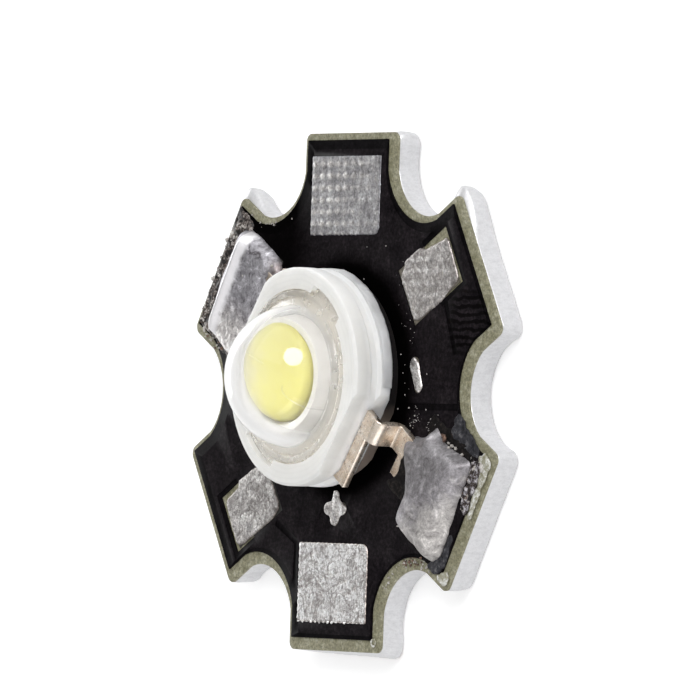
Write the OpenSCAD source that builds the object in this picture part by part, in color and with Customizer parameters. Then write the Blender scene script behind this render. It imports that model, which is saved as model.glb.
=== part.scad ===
// High power LED: a domed, white moulded emitter soldered to a six-lobed metal-core star board.
// The board lies flat on its back. +Z is the optical axis, and the origin is the centre of the back face.

/* [Star board] */
// Width of the star across opposite lobe ends
star_flats = 19; // [18.4:0.1:23]
// Radius of the corners at the lobe ends
corner_r = 0.3; // [0.1:0.05:0.5]
// How far the screw notch centres lie past the lobe ends
notch_reach = 0.3; // [0:0.05:0.6]
// Diameter of each half-round screw notch
notch_d = 4.15; // [3:0.05:5]
// Thickness of the aluminium base
base_t = 1; // [0.6:0.1:3]
// Thickness of the insulating layer
dielectric_t = 0.1; // [0.05:0.01:0.2]
// Thickness of the copper foil
copper_t = 0.035; // [0.035:0.035:0.14]
// Thickness of the solder mask where it lies over copper
mask_t = 0.035; // [0.02:0.005:0.06]

/* [Foil and mask] */
// Bare rim between the board edge and the solder mask
mask_rim = 0.35; // [0.2:0.05:0.6]
// Printing error of the mask along X
mask_shift_x = -0.19; // [-0.2:0.01:0.2]
// Printing error of the mask along Y
mask_shift_y = 0.1; // [-0.15:0.01:0.15]
// Bare rim between the board edge and the foil
foil_rim = 0.6; // [0.6:0.05:0.8]
// Width of every gap etched in the foil
foil_gap = 0.25; // [0.15:0.05:0.3]
// Margin of bare land round the heat slug
land_margin = 0.2; // [0:0.05:0.4]
// How much lower the mask lies where there is no foil
mask_dip = 0.02; // [0.01:0.005:0.03]

/* [Wire pads] */
// Distance of the wide pads from the board centre
wide_pad_r = 7.1; // [6.8:0.05:8.4]
// Length of a wide pad along its lobe
wide_pad_l = 2.9; // [2:0.1:3]
// Width of a wide pad across its lobe
wide_pad_w = 4.3; // [3:0.1:4.4]
// Distance of the narrow openings from the board centre
narrow_pad_r = 6.75; // [6.5:0.05:7.6]
// How far a narrow opening lies off its lobe's centre line
narrow_pad_side = 0.98; // [0.9:0.01:1.2]
// Length of a narrow opening along its lobe
narrow_pad_l = 3.25; // [2:0.05:3.3]
// Width of a narrow opening across its lobe
narrow_pad_w = 2.32; // [1.5:0.02:2.4]
// How far the foil is cleared under the mask round the end of a narrow pad
narrow_clear = 0.2; // [0.1:0.02:0.3]
// Thickness of the solder that tins a pad
tin_t = 0.05; // [0.03:0.01:0.1]

/* [Emitter package] */
// Where the emitter was soldered, along X from the board centre
emitter_x = 0; // [-0.3:0.02:0.3]
// Where the emitter was soldered, along Y from the board centre
emitter_y = 0.48; // [-0.5:0.02:0.5]
// Direction in which the positive lead points
emitter_turn = -36; // [-40:1:-20]
// Diameter of the moulded body
body_d = 8; // [7.4:0.1:8.6]
// Wall between the recess for the lens and the flats of the body
flat_wall = 0.34; // [0.2:0.02:0.5]
// Gap between the board face and the rim of the body
body_gap = 0.62; // [0.5:0.02:0.9]
// Height of the front face of the body above the board face
face_h = 2.28; // [2.2:0.02:2.8]
// Depth of the shallow groove round the body
groove_depth = 0.12; // [0.05:0.01:0.2]
// Width of the shallow groove round the body
groove_w = 0.48; // [0.3:0.02:0.5]
// Clearance between the lens flange and its recess
lens_gap = 0.06; // [0.02:0.01:0.12]
// Clearance where plastic is moulded round metal
mould_gap = 0.01; // [0.005:0.005:0.03]

/* [Lens] */
// Height of the dome's centre above the board face
dome_h = 2.09; // [2:0.01:2.2]
// Width of the lens flange round the dome
flange_w = 0.53; // [0.3:0.01:0.6]
// Thickness of the lens flange
flange_t = 0.5; // [0.4:0.02:0.6]
// Wall between the dome and the cavity inside it
lens_wall = 0.45; // [0.3:0.05:0.5]
// Width of each filling ear of the lens
ear_w = 1.9; // [1.2:0.1:2.2]
// How far the filling ears reach past the flange
ear_reach = 0.33; // [0.2:0.01:0.35]
// Room between the lead posts and the wall of the cavity
cavity_gap = 0.27; // [0.1:0.01:0.3]
// Diameter of the filling hole in each ear
ear_hole_d = 0.5; // [0.3:0.05:0.6]

/* [Leads] */
// Thickness of the lead frame
lead_t = 0.25; // [0.2:0.01:0.3]
// Height of a lead's top face above the board face
lead_h = 1.35; // [1.25:0.01:1.4]
// Width of the lead where it bends
lead_w = 0.95; // [0.7:0.05:1.1]
// How far the bent part lies off the emitter's centre line
lead_side = 0.66; // [0.5:0.02:0.7]
// How far the shoulder plate stands out of the body's flat
shoulder_reach = 0.5; // [0.3:0.05:0.6]
// How far the outside of the bend lies past the shoulder plate
bend_reach = 0.41; // [0.4:0.01:0.6]
// Narrow neck between the bend and the wide foot
foot_neck = 0.49; // [0.4:0.01:0.8]
// Length of the wide foot
foot_l = 2.05; // [1.5:0.05:2.2]
// Width of the foot, whose one side runs on from the bend
foot_w = 1.7; // [1.4:0.05:2.2]
// Inside radius of the lead's bends
lead_bend_r = 0.12; // [0.08:0.01:0.16]
// Solder left under the foot
foot_lift = 0.16; // [0.1:0.01:0.2]

/* [Heat slug and die] */
// Diameter of the slug's foot
slug_foot_d = 5.6; // [5:0.1:6]
// Thickness of the slug's foot
slug_foot_t = 0.65; // [0.5:0.01:0.7]
// Wall round the reflector cup in the slug's pedestal
cup_wall = 0.25; // [0.15:0.01:0.3]
// Height of the cup's rim above the board face
cup_h = 2.35; // [2.3:0.01:2.5]
// Diameter of the reflector cup at its rim
cup_d = 2.6; // [2.4:0.02:2.7]
// Diameter of the reflector cup at its floor
cup_floor_d = 2; // [1.8:0.02:2.1]
// Depth of the reflector cup
cup_depth = 0.45; // [0.4:0.01:0.5]
// Thickness of the bond between the slug and the board
bond_t = 0.08; // [0.04:0.01:0.12]
// Side of the square die
die_w = 1; // [0.8:0.02:1.1]
// Thickness of the die
die_t = 0.12; // [0.1:0.01:0.15]
// Thickness of the die attach
attach_t = 0.03; // [0.02:0.005:0.04]
// How far the phosphor bulges above the cup's rim
phosphor_bulge = 0.06; // [0.03:0.01:0.1]
// Diameter of each bond wire
wire_d = 0.04; // [0.03:0.005:0.05]

/* [Solder joints] */
// Height of a solder joint above the foil
joint_h = 0.78; // [0.7:0.02:1]
// How far solder climbs over the pad's edge
joint_spread = 0.06; // [0:0.01:0.1]

/* [Hidden] */
$fn = 96;
eps = 0.01;
over = 1;
big = 40;

// Heights of the board's layers
dielectric_z = base_t;
foil_z = dielectric_z + dielectric_t;
foil_top = foil_z + copper_t;
board_top = foil_top + mask_t;
land_r = slug_foot_d / 2 + land_margin;
land_rim = 0.1;

// The star's outline: the straight flanks of a lobe cross its notch circles a little inside their edge
flank_in = 0.05;
notch_circle_d = star_flats + 2 * notch_reach;
lobe_w = notch_circle_d * sin(30) - notch_d + 2 * flank_in;
corner_min = 0.04;
corner_steps = 6;

// Lobes: the wide pads of the leads, the wide wire pads and the narrow wire pads
lead_lobes = [-30, 150];
narrow_lobes = [30, 210];
pad_chamfer = 0.25;

// The two halves of the foil meet at a step of this height on each side of the land
foil_step = 0.5;
// Relief slots etched in the foil, as routes of round numbers
relief_slots = [
    [[-3.9, -4.85], [-2.55, -5.55], [-2.6, -7.4]],
    [[6.2, 3.4], [6.6, 2.3], [6.95, 1.4]]
];

// Polarity marks, bare tinned foil
plus_at = [0.03, -4.37];
plus_size = [1.4, 1.33];
plus_bar = 0.45;
minus_at = [4.78, 0.55];
minus_l = 1.36;
minus_bar = 0.5;
minus_lean = 14;

// The foil of a narrow pad fills its opening up to a neck, and leaves bare resin beside and past it:
// [length up to the neck, bare near side, bare end, bare far side]
upper_right_bare = [1.75, 0.07, 0.15, 0.4];
lower_left_bare = [2.05, 0.28, 0.18, 0.1];
// Printing error of the narrow openings against the rest of the mask
narrow_error = [0.045, -0.08];

// Heights of the emitter
slug_z = board_top + bond_t;
body_z = board_top + body_gap;
face_z = board_top + face_h;
slug_shoulder_z = slug_z + slug_foot_t;
cup_z = board_top + cup_h;
cup_floor_z = cup_z - cup_depth;
die_z = cup_floor_z + attach_t;
dome_z = board_top + dome_h;
flange_proud = 0.05;
flange_top = face_z + flange_proud;
flange_z = flange_top - flange_t;

// From the cup outwards: pedestal, lead posts, lens cavity, dome, flange and ears
pedestal_d = cup_d + 2 * cup_wall;
post_gap = 0.1;
post_in = pedestal_d / 2 + post_gap;
post_out = post_in + lead_t;
post_w = 0.8;
cavity_r = post_out + cavity_gap;
dome_r = cavity_r + lens_wall;
flange_r = dome_r + flange_w;
ear_r = flange_r + ear_reach;

// Ring round the flange of the lens, and the holes in its ears
ring_r = dome_r + flange_w / 2;
ring_w = 0.12;
ring_depth = 0.1;
ear_t = 0.3;
ear_hole_in = 0.05;
ear_hole_at = flange_r - ear_hole_in;

// Body: its flats, the skirt below it, the start of its groove and the bevel of its rims
body_flats = 2 * (flange_r + lens_gap + flat_wall);
skirt_wall = 0.9;
skirt_r = slug_foot_d / 2 + skirt_wall;
skirt_up = 0.16;
skirt_z = board_top + skirt_up;
groove_up = 0.5;
groove_z = body_z + groove_up;
body_edge = 0.1;

// Leads: from the posts through the wall of the body to the feet
lead_top = board_top + lead_h;
lead_z = lead_top - lead_t;
foot_z = foil_top + foot_lift;
shoulder_root = 1;
shoulder_in = post_out + shoulder_root;
shoulder_out = body_flats / 2 + shoulder_reach;
shoulder_far = 2;
bend_x = shoulder_out + bend_reach;
foot_wide_x = bend_x + foot_neck;
foot_end_x = foot_wide_x + foot_l;

// Solder joints: the thickness of their thin edge, the radius of their crests, and the crests themselves.
// Each crest is [along the lobe, across the lobe, height as a share of joint_h].
joint_edge = 0.04;
crest_r = 0.35;
right_crests = [[-0.95, 1.15, 0.92], [-0.9, -0.9, 0.8], [0.4, 1.1, 1], [0.4, -1.2, 0.78]];
left_crests = [[0.75, -1.4, 0.95], [0.8, 1.3, 1], [-0.9, 1.2, 0.85], [-0.9, -1.2, 0.9]];

// Segments of the wide circle that rounds the top of the phosphor
cap_fn = 1440;

// Bond wires: a loop over the cup's rim, from the die to the top of the post
wire_spot = 0.32;
wire_in = die_w * wire_spot;
wire_out = (post_in + post_out) / 2;
wire_loop_r = (wire_out - wire_in) / 2;

// A quarter turn round a corner, as points
function corner_points(center, r, from) =
    [for (i = [0:corner_steps]) center + r * [cos(from + 90 * i / corner_steps), sin(from + 90 * i / corner_steps)]];

// One lobe, from the board's centre to its straight end
module lobe_2d(inset) {
    r = max(corner_r - inset, corner_min);
    x = star_flats / 2 - inset;
    y = lobe_w / 2 - inset;
    polygon(concat(
        [[0, y], [0, -y]],
        corner_points([x - r, r - y], r, -90),
        corner_points([x - r, y - r], r, 0)
    ));
}

// Outline of the star, brought in from its edge by the same amount all round
module star_2d(inset = 0) {
    for (a = [30:60:330])
        rotate(a) lobe_2d(inset);
    difference() {
        circle(d = notch_circle_d, $fn = 6);
        for (a = [0:60:300])
            rotate(a) translate([notch_circle_d / 2, 0]) circle(d = notch_d + 2 * inset);
    }
}

// A band of one width along a route, with mitred corners and square ends
function side_of(from, to) = [from[1] - to[1], to[0] - from[0]] / norm(to - from);

function mitre(points, i) =
    let (
        before = side_of(points[max(i - 1, 0)], points[max(i, 1)]),
        after = side_of(points[min(i, len(points) - 2)], points[min(i + 1, len(points) - 1)])
    ) (before + after) / (1 + before * after);

module route_2d(points, width) {
    ends = len(points) - 1;
    polygon(concat(
        [for (i = [0:ends]) points[i] + mitre(points, i) * width / 2],
        [for (i = [ends:-1:0]) points[i] - mitre(points, i) * width / 2]
    ));
}

module layer(z, thickness) {
    translate([0, 0, z]) linear_extrude(thickness) children();
}

module printed() {
    translate([mask_shift_x, mask_shift_y]) children();
}

module at_emitter() {
    translate([emitter_x, emitter_y, 0]) rotate(emitter_turn) children();
}

// Shapes of the pads, each on its own lobe, before the printing error
module wide_pad_2d(lobe, chamfer = 0) {
    x = wide_pad_l / 2;
    y = wide_pad_w / 2;
    rotate(lobe) translate([wide_pad_r, 0])
        polygon([[-x, -y + chamfer], [-x + chamfer, -y], [x, -y], [x, y], [-x, y]]);
}

module top_pad_2d() {
    wide_pad_2d(90, pad_chamfer);
}

module bottom_pad_2d() {
    mirror([1, 0]) wide_pad_2d(-90, pad_chamfer);
}

// Places a shape on a narrow opening, with the origin at the corner of its inner end
module at_narrow(lobe) {
    translate(narrow_error) rotate(lobe)
        translate([narrow_pad_r - narrow_pad_l / 2, narrow_pad_side - narrow_pad_w / 2])
            children();
}

module narrow_pad_2d(lobe) {
    at_narrow(lobe) square([narrow_pad_l, narrow_pad_w]);
}

// The part of a narrow pad past its neck
module narrow_end_2d(bare) {
    translate([bare[0], bare[1]])
        square([narrow_pad_l - bare[0] - bare[2], narrow_pad_w - bare[1] - bare[3]]);
}

module narrow_tin_2d(lobe, bare) {
    at_narrow(lobe) {
        square([bare[0], narrow_pad_w]);
        narrow_end_2d(bare);
    }
}

// Where the foil is cleared round the end of a narrow pad
module narrow_clear_2d(lobe, bare) {
    at_narrow(lobe) difference() {
        translate([bare[0], -narrow_clear])
            square([narrow_pad_l - bare[0] + narrow_clear, narrow_pad_w + 2 * narrow_clear]);
        narrow_end_2d(bare);
    }
}

// A bar with round ends, along X
module round_bar_2d(length, width) {
    square([length - width, width], center = true);
    for (side = [-1, 1])
        translate([side * (length - width) / 2, 0]) circle(d = width);
}

module plus_2d() {
    translate(plus_at) {
        round_bar_2d(plus_size[0], plus_bar);
        rotate(90) round_bar_2d(plus_size[1], plus_bar);
    }
}

module minus_2d() {
    translate(minus_at) rotate(90 + minus_lean) round_bar_2d(minus_l, minus_bar);
}

module mask_openings_2d() {
    printed() {
        for (a = lead_lobes)
            wide_pad_2d(a);
        for (a = narrow_lobes)
            narrow_pad_2d(a);
        top_pad_2d();
        bottom_pad_2d();
        plus_2d();
        minus_2d();
    }
    circle(r = land_r + land_rim);
}

// Foil: two halves round the land, parted by a stepped gap
module foil_2d() {
    difference() {
        star_2d(foil_rim);
        circle(r = land_r + foil_gap);
        route_2d([[0, -foil_step], [big / 2, -foil_step]], foil_gap);
        route_2d([[-big / 2, foil_step], [0, foil_step]], foil_gap);
        for (slot = relief_slots)
            route_2d(slot, foil_gap);
        printed() {
            narrow_clear_2d(narrow_lobes[0], upper_right_bare);
            narrow_clear_2d(narrow_lobes[1], lower_left_bare);
        }
    }
}

module anode_half_2d() {
    polygon([
        [-big, foil_step], [0, foil_step], [0, -foil_step], [big, -foil_step], [big, -big], [-big, -big]
    ]);
}

// The board
module base_plate() {
    color("#dfe1e4") layer(0, base_t) star_2d();
}

module dielectric_layer() {
    color("#98947a") layer(dielectric_z, dielectric_t) star_2d();
}

module anode_foil() {
    color("#b87a4b") layer(foil_z, copper_t)
        intersection() {
            foil_2d();
            anode_half_2d();
        }
}

module cathode_foil() {
    color("#b87a4b") layer(foil_z, copper_t)
        difference() {
            foil_2d();
            anode_half_2d();
        }
}

module thermal_land() {
    color("#b87a4b") layer(foil_z, copper_t) circle(r = land_r);
}

// Mask: thick over the foil, lower in the gaps, open at the pads
module solder_mask() {
    color("#1d1a1f") difference() {
        union() {
            layer(foil_z, copper_t + mask_t - mask_dip) printed() star_2d(mask_rim);
            layer(foil_top, mask_t)
                intersection() {
                    printed() star_2d(mask_rim);
                    foil_2d();
                }
        }
        layer(foil_z - eps, copper_t + eps) foil_2d();
        layer(foil_z - eps, copper_t + mask_t + 2 * eps) mask_openings_2d();
    }
}

// Tin wets only the foil
module tin() {
    color("#a9a5a2") layer(foil_top, tin_t)
        intersection() {
            printed() children();
            foil_2d();
        }
}

module tin_pad_top() {
    tin() top_pad_2d();
}

module tin_pad_bottom() {
    tin() bottom_pad_2d();
}

module tin_pad_upper_right() {
    tin() narrow_tin_2d(narrow_lobes[0], upper_right_bare);
}

module tin_pad_lower_left() {
    tin() narrow_tin_2d(narrow_lobes[1], lower_left_bare);
}

module plus_mark() {
    tin() plus_2d();
}

module minus_mark() {
    tin() minus_2d();
}

// A solder joint: it fills its mask opening and swells over the lead's foot
module solder_mound(lobe, crests) {
    layer(foil_top, mask_t + eps) printed() wide_pad_2d(lobe);
    intersection() {
        layer(board_top, joint_h) square(big, center = true);
        translate([mask_shift_x, mask_shift_y, 0]) rotate(lobe) translate([wide_pad_r, 0, 0])
            hull() {
                layer(board_top, joint_edge)
                    square([wide_pad_l + 2 * joint_spread, wide_pad_w + 2 * joint_spread], center = true);
                for (c = crests)
                    translate([c[0], c[1], foil_top + joint_h * c[2] - crest_r])
                        sphere(r = crest_r, $fn = 24);
            }
    }
}

module solder_joint_right() {
    color("#a5a3a6") difference() {
        solder_mound(lead_lobes[0], right_crests);
        lead_right();
    }
}

module solder_joint_left() {
    color("#a5a3a6") difference() {
        solder_mound(lead_lobes[1], left_crests);
        lead_left();
    }
}

// The bond fills the ring of bare land and carries the slug
module thermal_bond() {
    color("#8f8f94") {
        layer(foil_top, mask_t + eps)
            intersection() {
                circle(r = land_r);
                translate([emitter_x, emitter_y]) circle(r = slug_foot_d / 2);
            }
        translate([emitter_x, emitter_y, board_top]) cylinder(d = slug_foot_d, h = bond_t);
    }
}

// Slug: a broad foot, and a pedestal with the reflector cup in its top
module slug_solid() {
    translate([0, 0, slug_z]) cylinder(d = slug_foot_d, h = slug_foot_t);
    translate([0, 0, slug_z]) cylinder(d = pedestal_d, h = cup_z - slug_z);
}

module cup_space() {
    translate([0, 0, cup_floor_z]) cylinder(d1 = cup_floor_d, d2 = cup_d, h = cup_depth);
}

module heat_slug() {
    color("#c9ccd0") at_emitter() difference() {
        slug_solid();
        cup_space();
    }
}

// Body: two tiers with a shallow groove between them, a narrower skirt below and two flats
module body_profile_2d() {
    r = body_d / 2;
    polygon([
        [0, skirt_z],
        [skirt_r, skirt_z],
        [skirt_r, body_z],
        [r - body_edge, body_z],
        [r, body_z + body_edge],
        [r, groove_z],
        [r - groove_depth, groove_z + groove_depth],
        [r - groove_depth, groove_z + groove_w - groove_depth],
        [r, groove_z + groove_w],
        [r, face_z - body_edge],
        [r - body_edge, face_z],
        [0, face_z]
    ]);
}

// Outline of the lens: its flange and the two filling ears
module ears_2d(gap = 0) {
    intersection() {
        circle(r = ear_r + gap);
        square([ear_w + 2 * gap, 3 * ear_r], center = true);
    }
}

module body_moulding() {
    color("#ecece9") at_emitter() difference() {
        rotate_extrude() body_profile_2d();
        for (side = [0, 180])
            rotate(side) translate([body_flats / 2, -body_d, body_z - over])
                cube([body_d, 2 * body_d, body_d]);
        layer(0, slug_shoulder_z) circle(d = slug_foot_d + 2 * mould_gap);
        layer(0, face_z + over) circle(d = pedestal_d + 2 * mould_gap);
        layer(flange_z, face_z) circle(r = flange_r + lens_gap);
        layer(flange_z, face_z) ears_2d(lens_gap);
        for (side = [0, 180])
            rotate(side) lead_solid();
    }
}

// Lead: a post inside the body, a broad shoulder, then two bends down to a wide foot
module quarter_bend_2d() {
    difference() {
        circle(r = lead_bend_r + lead_t);
        circle(r = lead_bend_r);
        translate([-big, -big]) square([big, 2 * big]);
        translate([-big, -big]) square([2 * big, big]);
    }
}

module lead_profile_2d() {
    outer_r = lead_bend_r + lead_t;
    translate([shoulder_in, lead_z]) square([bend_x - outer_r - shoulder_in, lead_t]);
    translate([bend_x - outer_r, lead_top - outer_r]) quarter_bend_2d();
    translate([bend_x - lead_t, foot_z + outer_r]) square([lead_t, lead_top - foot_z - 2 * outer_r]);
    translate([bend_x + lead_bend_r, foot_z + outer_r]) rotate(180) quarter_bend_2d();
    translate([bend_x + lead_bend_r, foot_z]) square([foot_end_x - bend_x - lead_bend_r, lead_t]);
}

module lead_solid() {
    translate([0, lead_side, 0]) rotate([90, 0, 0])
        linear_extrude(lead_w, center = true) lead_profile_2d();
    translate([foot_wide_x, lead_side + lead_w / 2 - foot_w, foot_z])
        cube([foot_end_x - foot_wide_x, foot_w, lead_t]);
    translate([shoulder_in, -shoulder_far, lead_z])
        cube([shoulder_out - shoulder_in, shoulder_far + lead_side + lead_w / 2, lead_t]);
    translate([post_in, -post_w / 2, lead_z])
        cube([shoulder_out - post_in, post_w, lead_t]);
    translate([post_in, -post_w / 2, lead_z])
        cube([lead_t, post_w, flange_z - lead_z]);
}

module lead_right() {
    color("#c8bfb2") at_emitter() lead_solid();
}

module lead_left() {
    color("#c8bfb2") at_emitter() rotate(180) lead_solid();
}

// Die, its attach and the phosphor that fills the cup
module die_attach() {
    color("#9a9a9e") at_emitter() layer(cup_floor_z, attach_t) square(die_w, center = true);
}

module led_die() {
    color("#6f8fb0") at_emitter() layer(die_z, die_t) square(die_w, center = true);
}

module phosphor_profile_2d() {
    rim_r = cup_d / 2;
    cap_r = (pow(rim_r, 2) + pow(phosphor_bulge, 2)) / (2 * phosphor_bulge);
    polygon([[0, cup_floor_z], [cup_floor_d / 2, cup_floor_z], [rim_r, cup_z], [0, cup_z]]);
    intersection() {
        translate([0, cup_z + phosphor_bulge - cap_r]) circle(r = cap_r, $fn = cap_fn);
        translate([0, cup_z]) square([rim_r, over]);
    }
}

module phosphor_solid() {
    rotate_extrude() phosphor_profile_2d();
}

module phosphor() {
    color("#efe25e") at_emitter() difference() {
        phosphor_solid();
        layer(cup_floor_z, attach_t + die_t) square(die_w, center = true);
        for (side = [0, 180])
            rotate(side) wire_solid();
    }
}

module wire_solid() {
    for (end = [[wire_in, die_z + die_t], [wire_out, flange_z]])
        translate([end[0], 0, end[1]]) cylinder(d = wire_d, h = cup_z - end[1]);
    translate([(wire_in + wire_out) / 2, 0, cup_z]) rotate([90, 0, 0])
        rotate_extrude(angle = 180) translate([wire_loop_r, 0]) circle(d = wire_d);
}

module bond_wire_right() {
    color("#d8b04a") at_emitter() wire_solid();
}

module bond_wire_left() {
    color("#d8b04a") at_emitter() rotate(180) wire_solid();
}

// Lens: a clear dome on a stepped flange, hollow for the silicone
module cavity_space() {
    translate([0, 0, flange_z]) cylinder(r = cavity_r, h = dome_z - flange_z);
    intersection() {
        translate([0, 0, dome_z]) sphere(r = cavity_r);
        translate([0, 0, dome_z]) cylinder(r = cavity_r, h = cavity_r);
    }
}

module silicone_fill() {
    color("#f4f4ee", 0.4) at_emitter() difference() {
        cavity_space();
        slug_solid();
        phosphor_solid();
        for (side = [0, 180])
            rotate(side) wire_solid();
    }
}

module lens() {
    color("#eef2f2", 0.4) at_emitter() difference() {
        union() {
            layer(flange_z, flange_t) circle(r = flange_r);
            layer(flange_z, ear_t) ears_2d();
            intersection() {
                translate([0, 0, dome_z]) sphere(r = dome_r);
                translate([0, 0, flange_z]) cylinder(r = dome_r, h = 2 * dome_r);
            }
        }
        cavity_space();
        layer(flange_top - ring_depth, ring_depth + eps)
            difference() {
                circle(r = ring_r + ring_w / 2);
                circle(r = ring_r - ring_w / 2);
            }
        for (side = [-1, 1])
            layer(flange_z - over, flange_t + 2 * over)
                translate([0, side * ear_hole_at]) circle(d = ear_hole_d);
    }
}

base_plate();
dielectric_layer();
anode_foil();
cathode_foil();
thermal_land();
solder_mask();
tin_pad_top();
tin_pad_bottom();
tin_pad_upper_right();
tin_pad_lower_left();
plus_mark();
minus_mark();
solder_joint_right();
solder_joint_left();
thermal_bond();
heat_slug();
body_moulding();
lead_right();
lead_left();
die_attach();
led_die();
phosphor();
bond_wire_right();
bond_wire_left();
silicone_fill();
lens();
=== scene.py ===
import math

import bmesh
import bpy
import numpy as np
from mathutils import Matrix, Vector, geometry, noise


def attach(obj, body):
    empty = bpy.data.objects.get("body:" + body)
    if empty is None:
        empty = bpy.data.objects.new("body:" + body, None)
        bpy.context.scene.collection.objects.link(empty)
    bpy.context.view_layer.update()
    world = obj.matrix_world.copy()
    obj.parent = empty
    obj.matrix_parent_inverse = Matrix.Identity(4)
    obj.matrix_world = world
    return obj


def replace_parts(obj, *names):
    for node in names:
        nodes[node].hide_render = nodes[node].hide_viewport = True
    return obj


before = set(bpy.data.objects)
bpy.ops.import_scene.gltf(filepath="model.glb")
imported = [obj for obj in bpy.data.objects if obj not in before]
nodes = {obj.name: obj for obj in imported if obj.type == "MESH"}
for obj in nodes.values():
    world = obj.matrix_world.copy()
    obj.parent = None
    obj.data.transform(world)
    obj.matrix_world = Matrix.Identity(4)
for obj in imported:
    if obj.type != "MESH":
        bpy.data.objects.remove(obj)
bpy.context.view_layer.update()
scene = bpy.context.scene

MM = 0.001

# Sizes repeated from the CAD source, in millimetres
BOARD_TOP = 1.17
BASE_T = 1.0
LOBE_END = 9.5
LOBE_HALF = 2.875
CORNER_R = 0.3
NOTCH_AT = 9.8
NOTCH_R = 2.075
EMITTER = np.array([0.0, 0.48])
EMITTER_TURN = math.radians(-36)
BODY_R = 4.0
FLANGE_Z = 3.0
FLANGE_TOP = 3.5
FLANGE_R = 3.15
DOME_Z = 3.26
DOME_R = 2.62
EAR_R = 3.48
EAR_HALF = 0.95
EAR_T = 0.3

# Share of white that the floor adds where the camera, a gloss or a clear piece sees it
FLOOR_GLOW = 0.33

# The camera that was fitted to the photo: its picture and sensor, its distance and its turn
PICTURE = 700
SENSOR = 36
DISTANCE = 0.367415
FOCAL_PX = 10031.1
CENTRE_PX = (341.9596, 391.8081)
YAW, PITCH, ROLL = (math.radians(a) for a in (54.34225, -1.05445, 1.98194))

BLACK, FULL = (0, 0, 0), (1, 1, 1)


def placed(name, data):
    """A new object of the scene."""
    obj = bpy.data.objects.new(name, data)
    scene.collection.objects.link(obj)
    return obj


# ---- camera ----
BACK = Vector((math.sin(YAW) * math.cos(PITCH), math.sin(PITCH), math.cos(YAW) * math.cos(PITCH)))
LEVEL = Vector((0, 1, 0)).cross(BACK).normalized()
UPRIGHT = BACK.cross(LEVEL)
RIGHT = math.cos(ROLL) * LEVEL + math.sin(ROLL) * UPRIGHT
UP = math.cos(ROLL) * UPRIGHT - math.sin(ROLL) * LEVEL
ASIDE = (CENTRE_PX[0] - PICTURE / 2) * DISTANCE / FOCAL_PX
ABOVE = -(CENTRE_PX[1] - PICTURE / 2) * DISTANCE / FOCAL_PX
EYE = BACK * DISTANCE - RIGHT * ASIDE - UP * ABOVE + Vector((0, 0, BOARD_TOP * MM))


def make_camera():
    data = bpy.data.cameras.new("camera")
    data.sensor_width = SENSOR
    data.lens = FOCAL_PX * SENSOR / PICTURE
    data.clip_start, data.clip_end = 0.01, 20
    cam = placed("camera", data)
    cam.matrix_world = Matrix([[RIGHT[i], UP[i], BACK[i], 0] for i in range(3)] + [[0, 0, 0, 1]])
    cam.location = EYE
    scene.camera = cam


make_camera()


# ---- lamps ----
def lamp(name, towards, distance, width, height, level, shape="RECTANGLE"):
    """A soft lamp. level is the share of full white that it gives a face turned to it."""
    data = bpy.data.lights.new(name, "AREA")
    data.shape = shape
    data.size = width
    if shape == "RECTANGLE":
        data.size_y = height
    data.energy = level * math.pi**2 * distance**2
    obj = placed(name, data)
    direction = Vector(towards).normalized()
    obj.location = direction * distance
    obj.rotation_mode = "QUATERNION"
    obj.rotation_quaternion = direction.to_track_quat("Z", "Y")
    return obj


key_side = BACK * 0.843 + UP * 0.5376 - RIGHT * 0.073
lamp("key_lamp", key_side, 0.4, 0.2, 0.2, 0.27, shape="DISK")
# The highlight on the dome comes from a lamp that only glosses show
spark = lamp("spark_lamp", key_side, 0.399, 0.215, 0.215, 0.8, shape="DISK")
spark.visible_diffuse = False
lamp("rim_lamp", (-0.97, 0.2, 0.12), 0.3, 0.26, 0.08, 0.38)
lamp("top_lamp", (0.1, 0.75, 0.66), 0.5, 0.5, 0.5, 0.25)
lamp("low_lamp", (0.42, -0.88, 0.2), 0.5, 0.42, 0.42, 0.3)


# ---- shader nodes ----
def rgba(color):
    """A colour given as (red, green, blue) or as one grey."""
    return (*color, 1) if isinstance(color, tuple) else (color, color, color, 1)


class Nodes:
    """A node tree that is built step by step. Lengths are in millimetres."""

    def __init__(self, tree, out):
        self.tree = tree
        tree.nodes.clear()
        self.out = self.add(out).inputs["Surface"]

    def add(self, kind, **values):
        """A new node, with the values of its sockets given by their names."""
        node = self.tree.nodes.new("ShaderNode" + kind)
        for key, value in values.items():
            node.inputs[key.replace("_", " ")].default_value = value
        return node

    def link(self, a, b):
        self.tree.links.new(a, b)

    def feed(self, socket, source):
        """Gives a socket a number, a colour or the output of another node."""
        if isinstance(source, (int, float)):
            socket.default_value = source
        elif isinstance(source, tuple):
            socket.default_value = rgba(source)
        else:
            self.link(source, socket)

    def maths(self, how, a, b=0.0):
        node = self.add("Math")
        node.operation = how
        self.feed(node.inputs[0], a)
        self.feed(node.inputs[1], b)
        return node.outputs[0]

    def plus(self, a, b):
        return self.maths("ADD", a, b)

    def times(self, a, b):
        return self.maths("MULTIPLY", a, b)

    def span(self, fac, low, high, to_low=0, to_high=1):
        """Turns the stretch from low to high into one from to_low to to_high, and stops at both ends."""
        node = self.add("MapRange")
        for socket, source in zip(node.inputs, (fac, low, high, to_low, to_high)):
            self.feed(socket, source)
        return node.outputs[0]

    def blend(self, fac, a, b):
        """A mix of two shaders."""
        node = self.add("MixShader")
        for socket, source in zip(node.inputs, (fac, a, b)):
            self.link(source, socket)
        return node.outputs[0]

    def light_path(self, *rays):
        """Tells whether a ray is of one of the kinds that are named."""
        path = self.add("LightPath").outputs
        answer = path["Is " + rays[0] + " Ray"]
        for ray in rays[1:]:
            answer = self.maths("MAXIMUM", answer, path["Is " + ray + " Ray"])
        return answer


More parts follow.
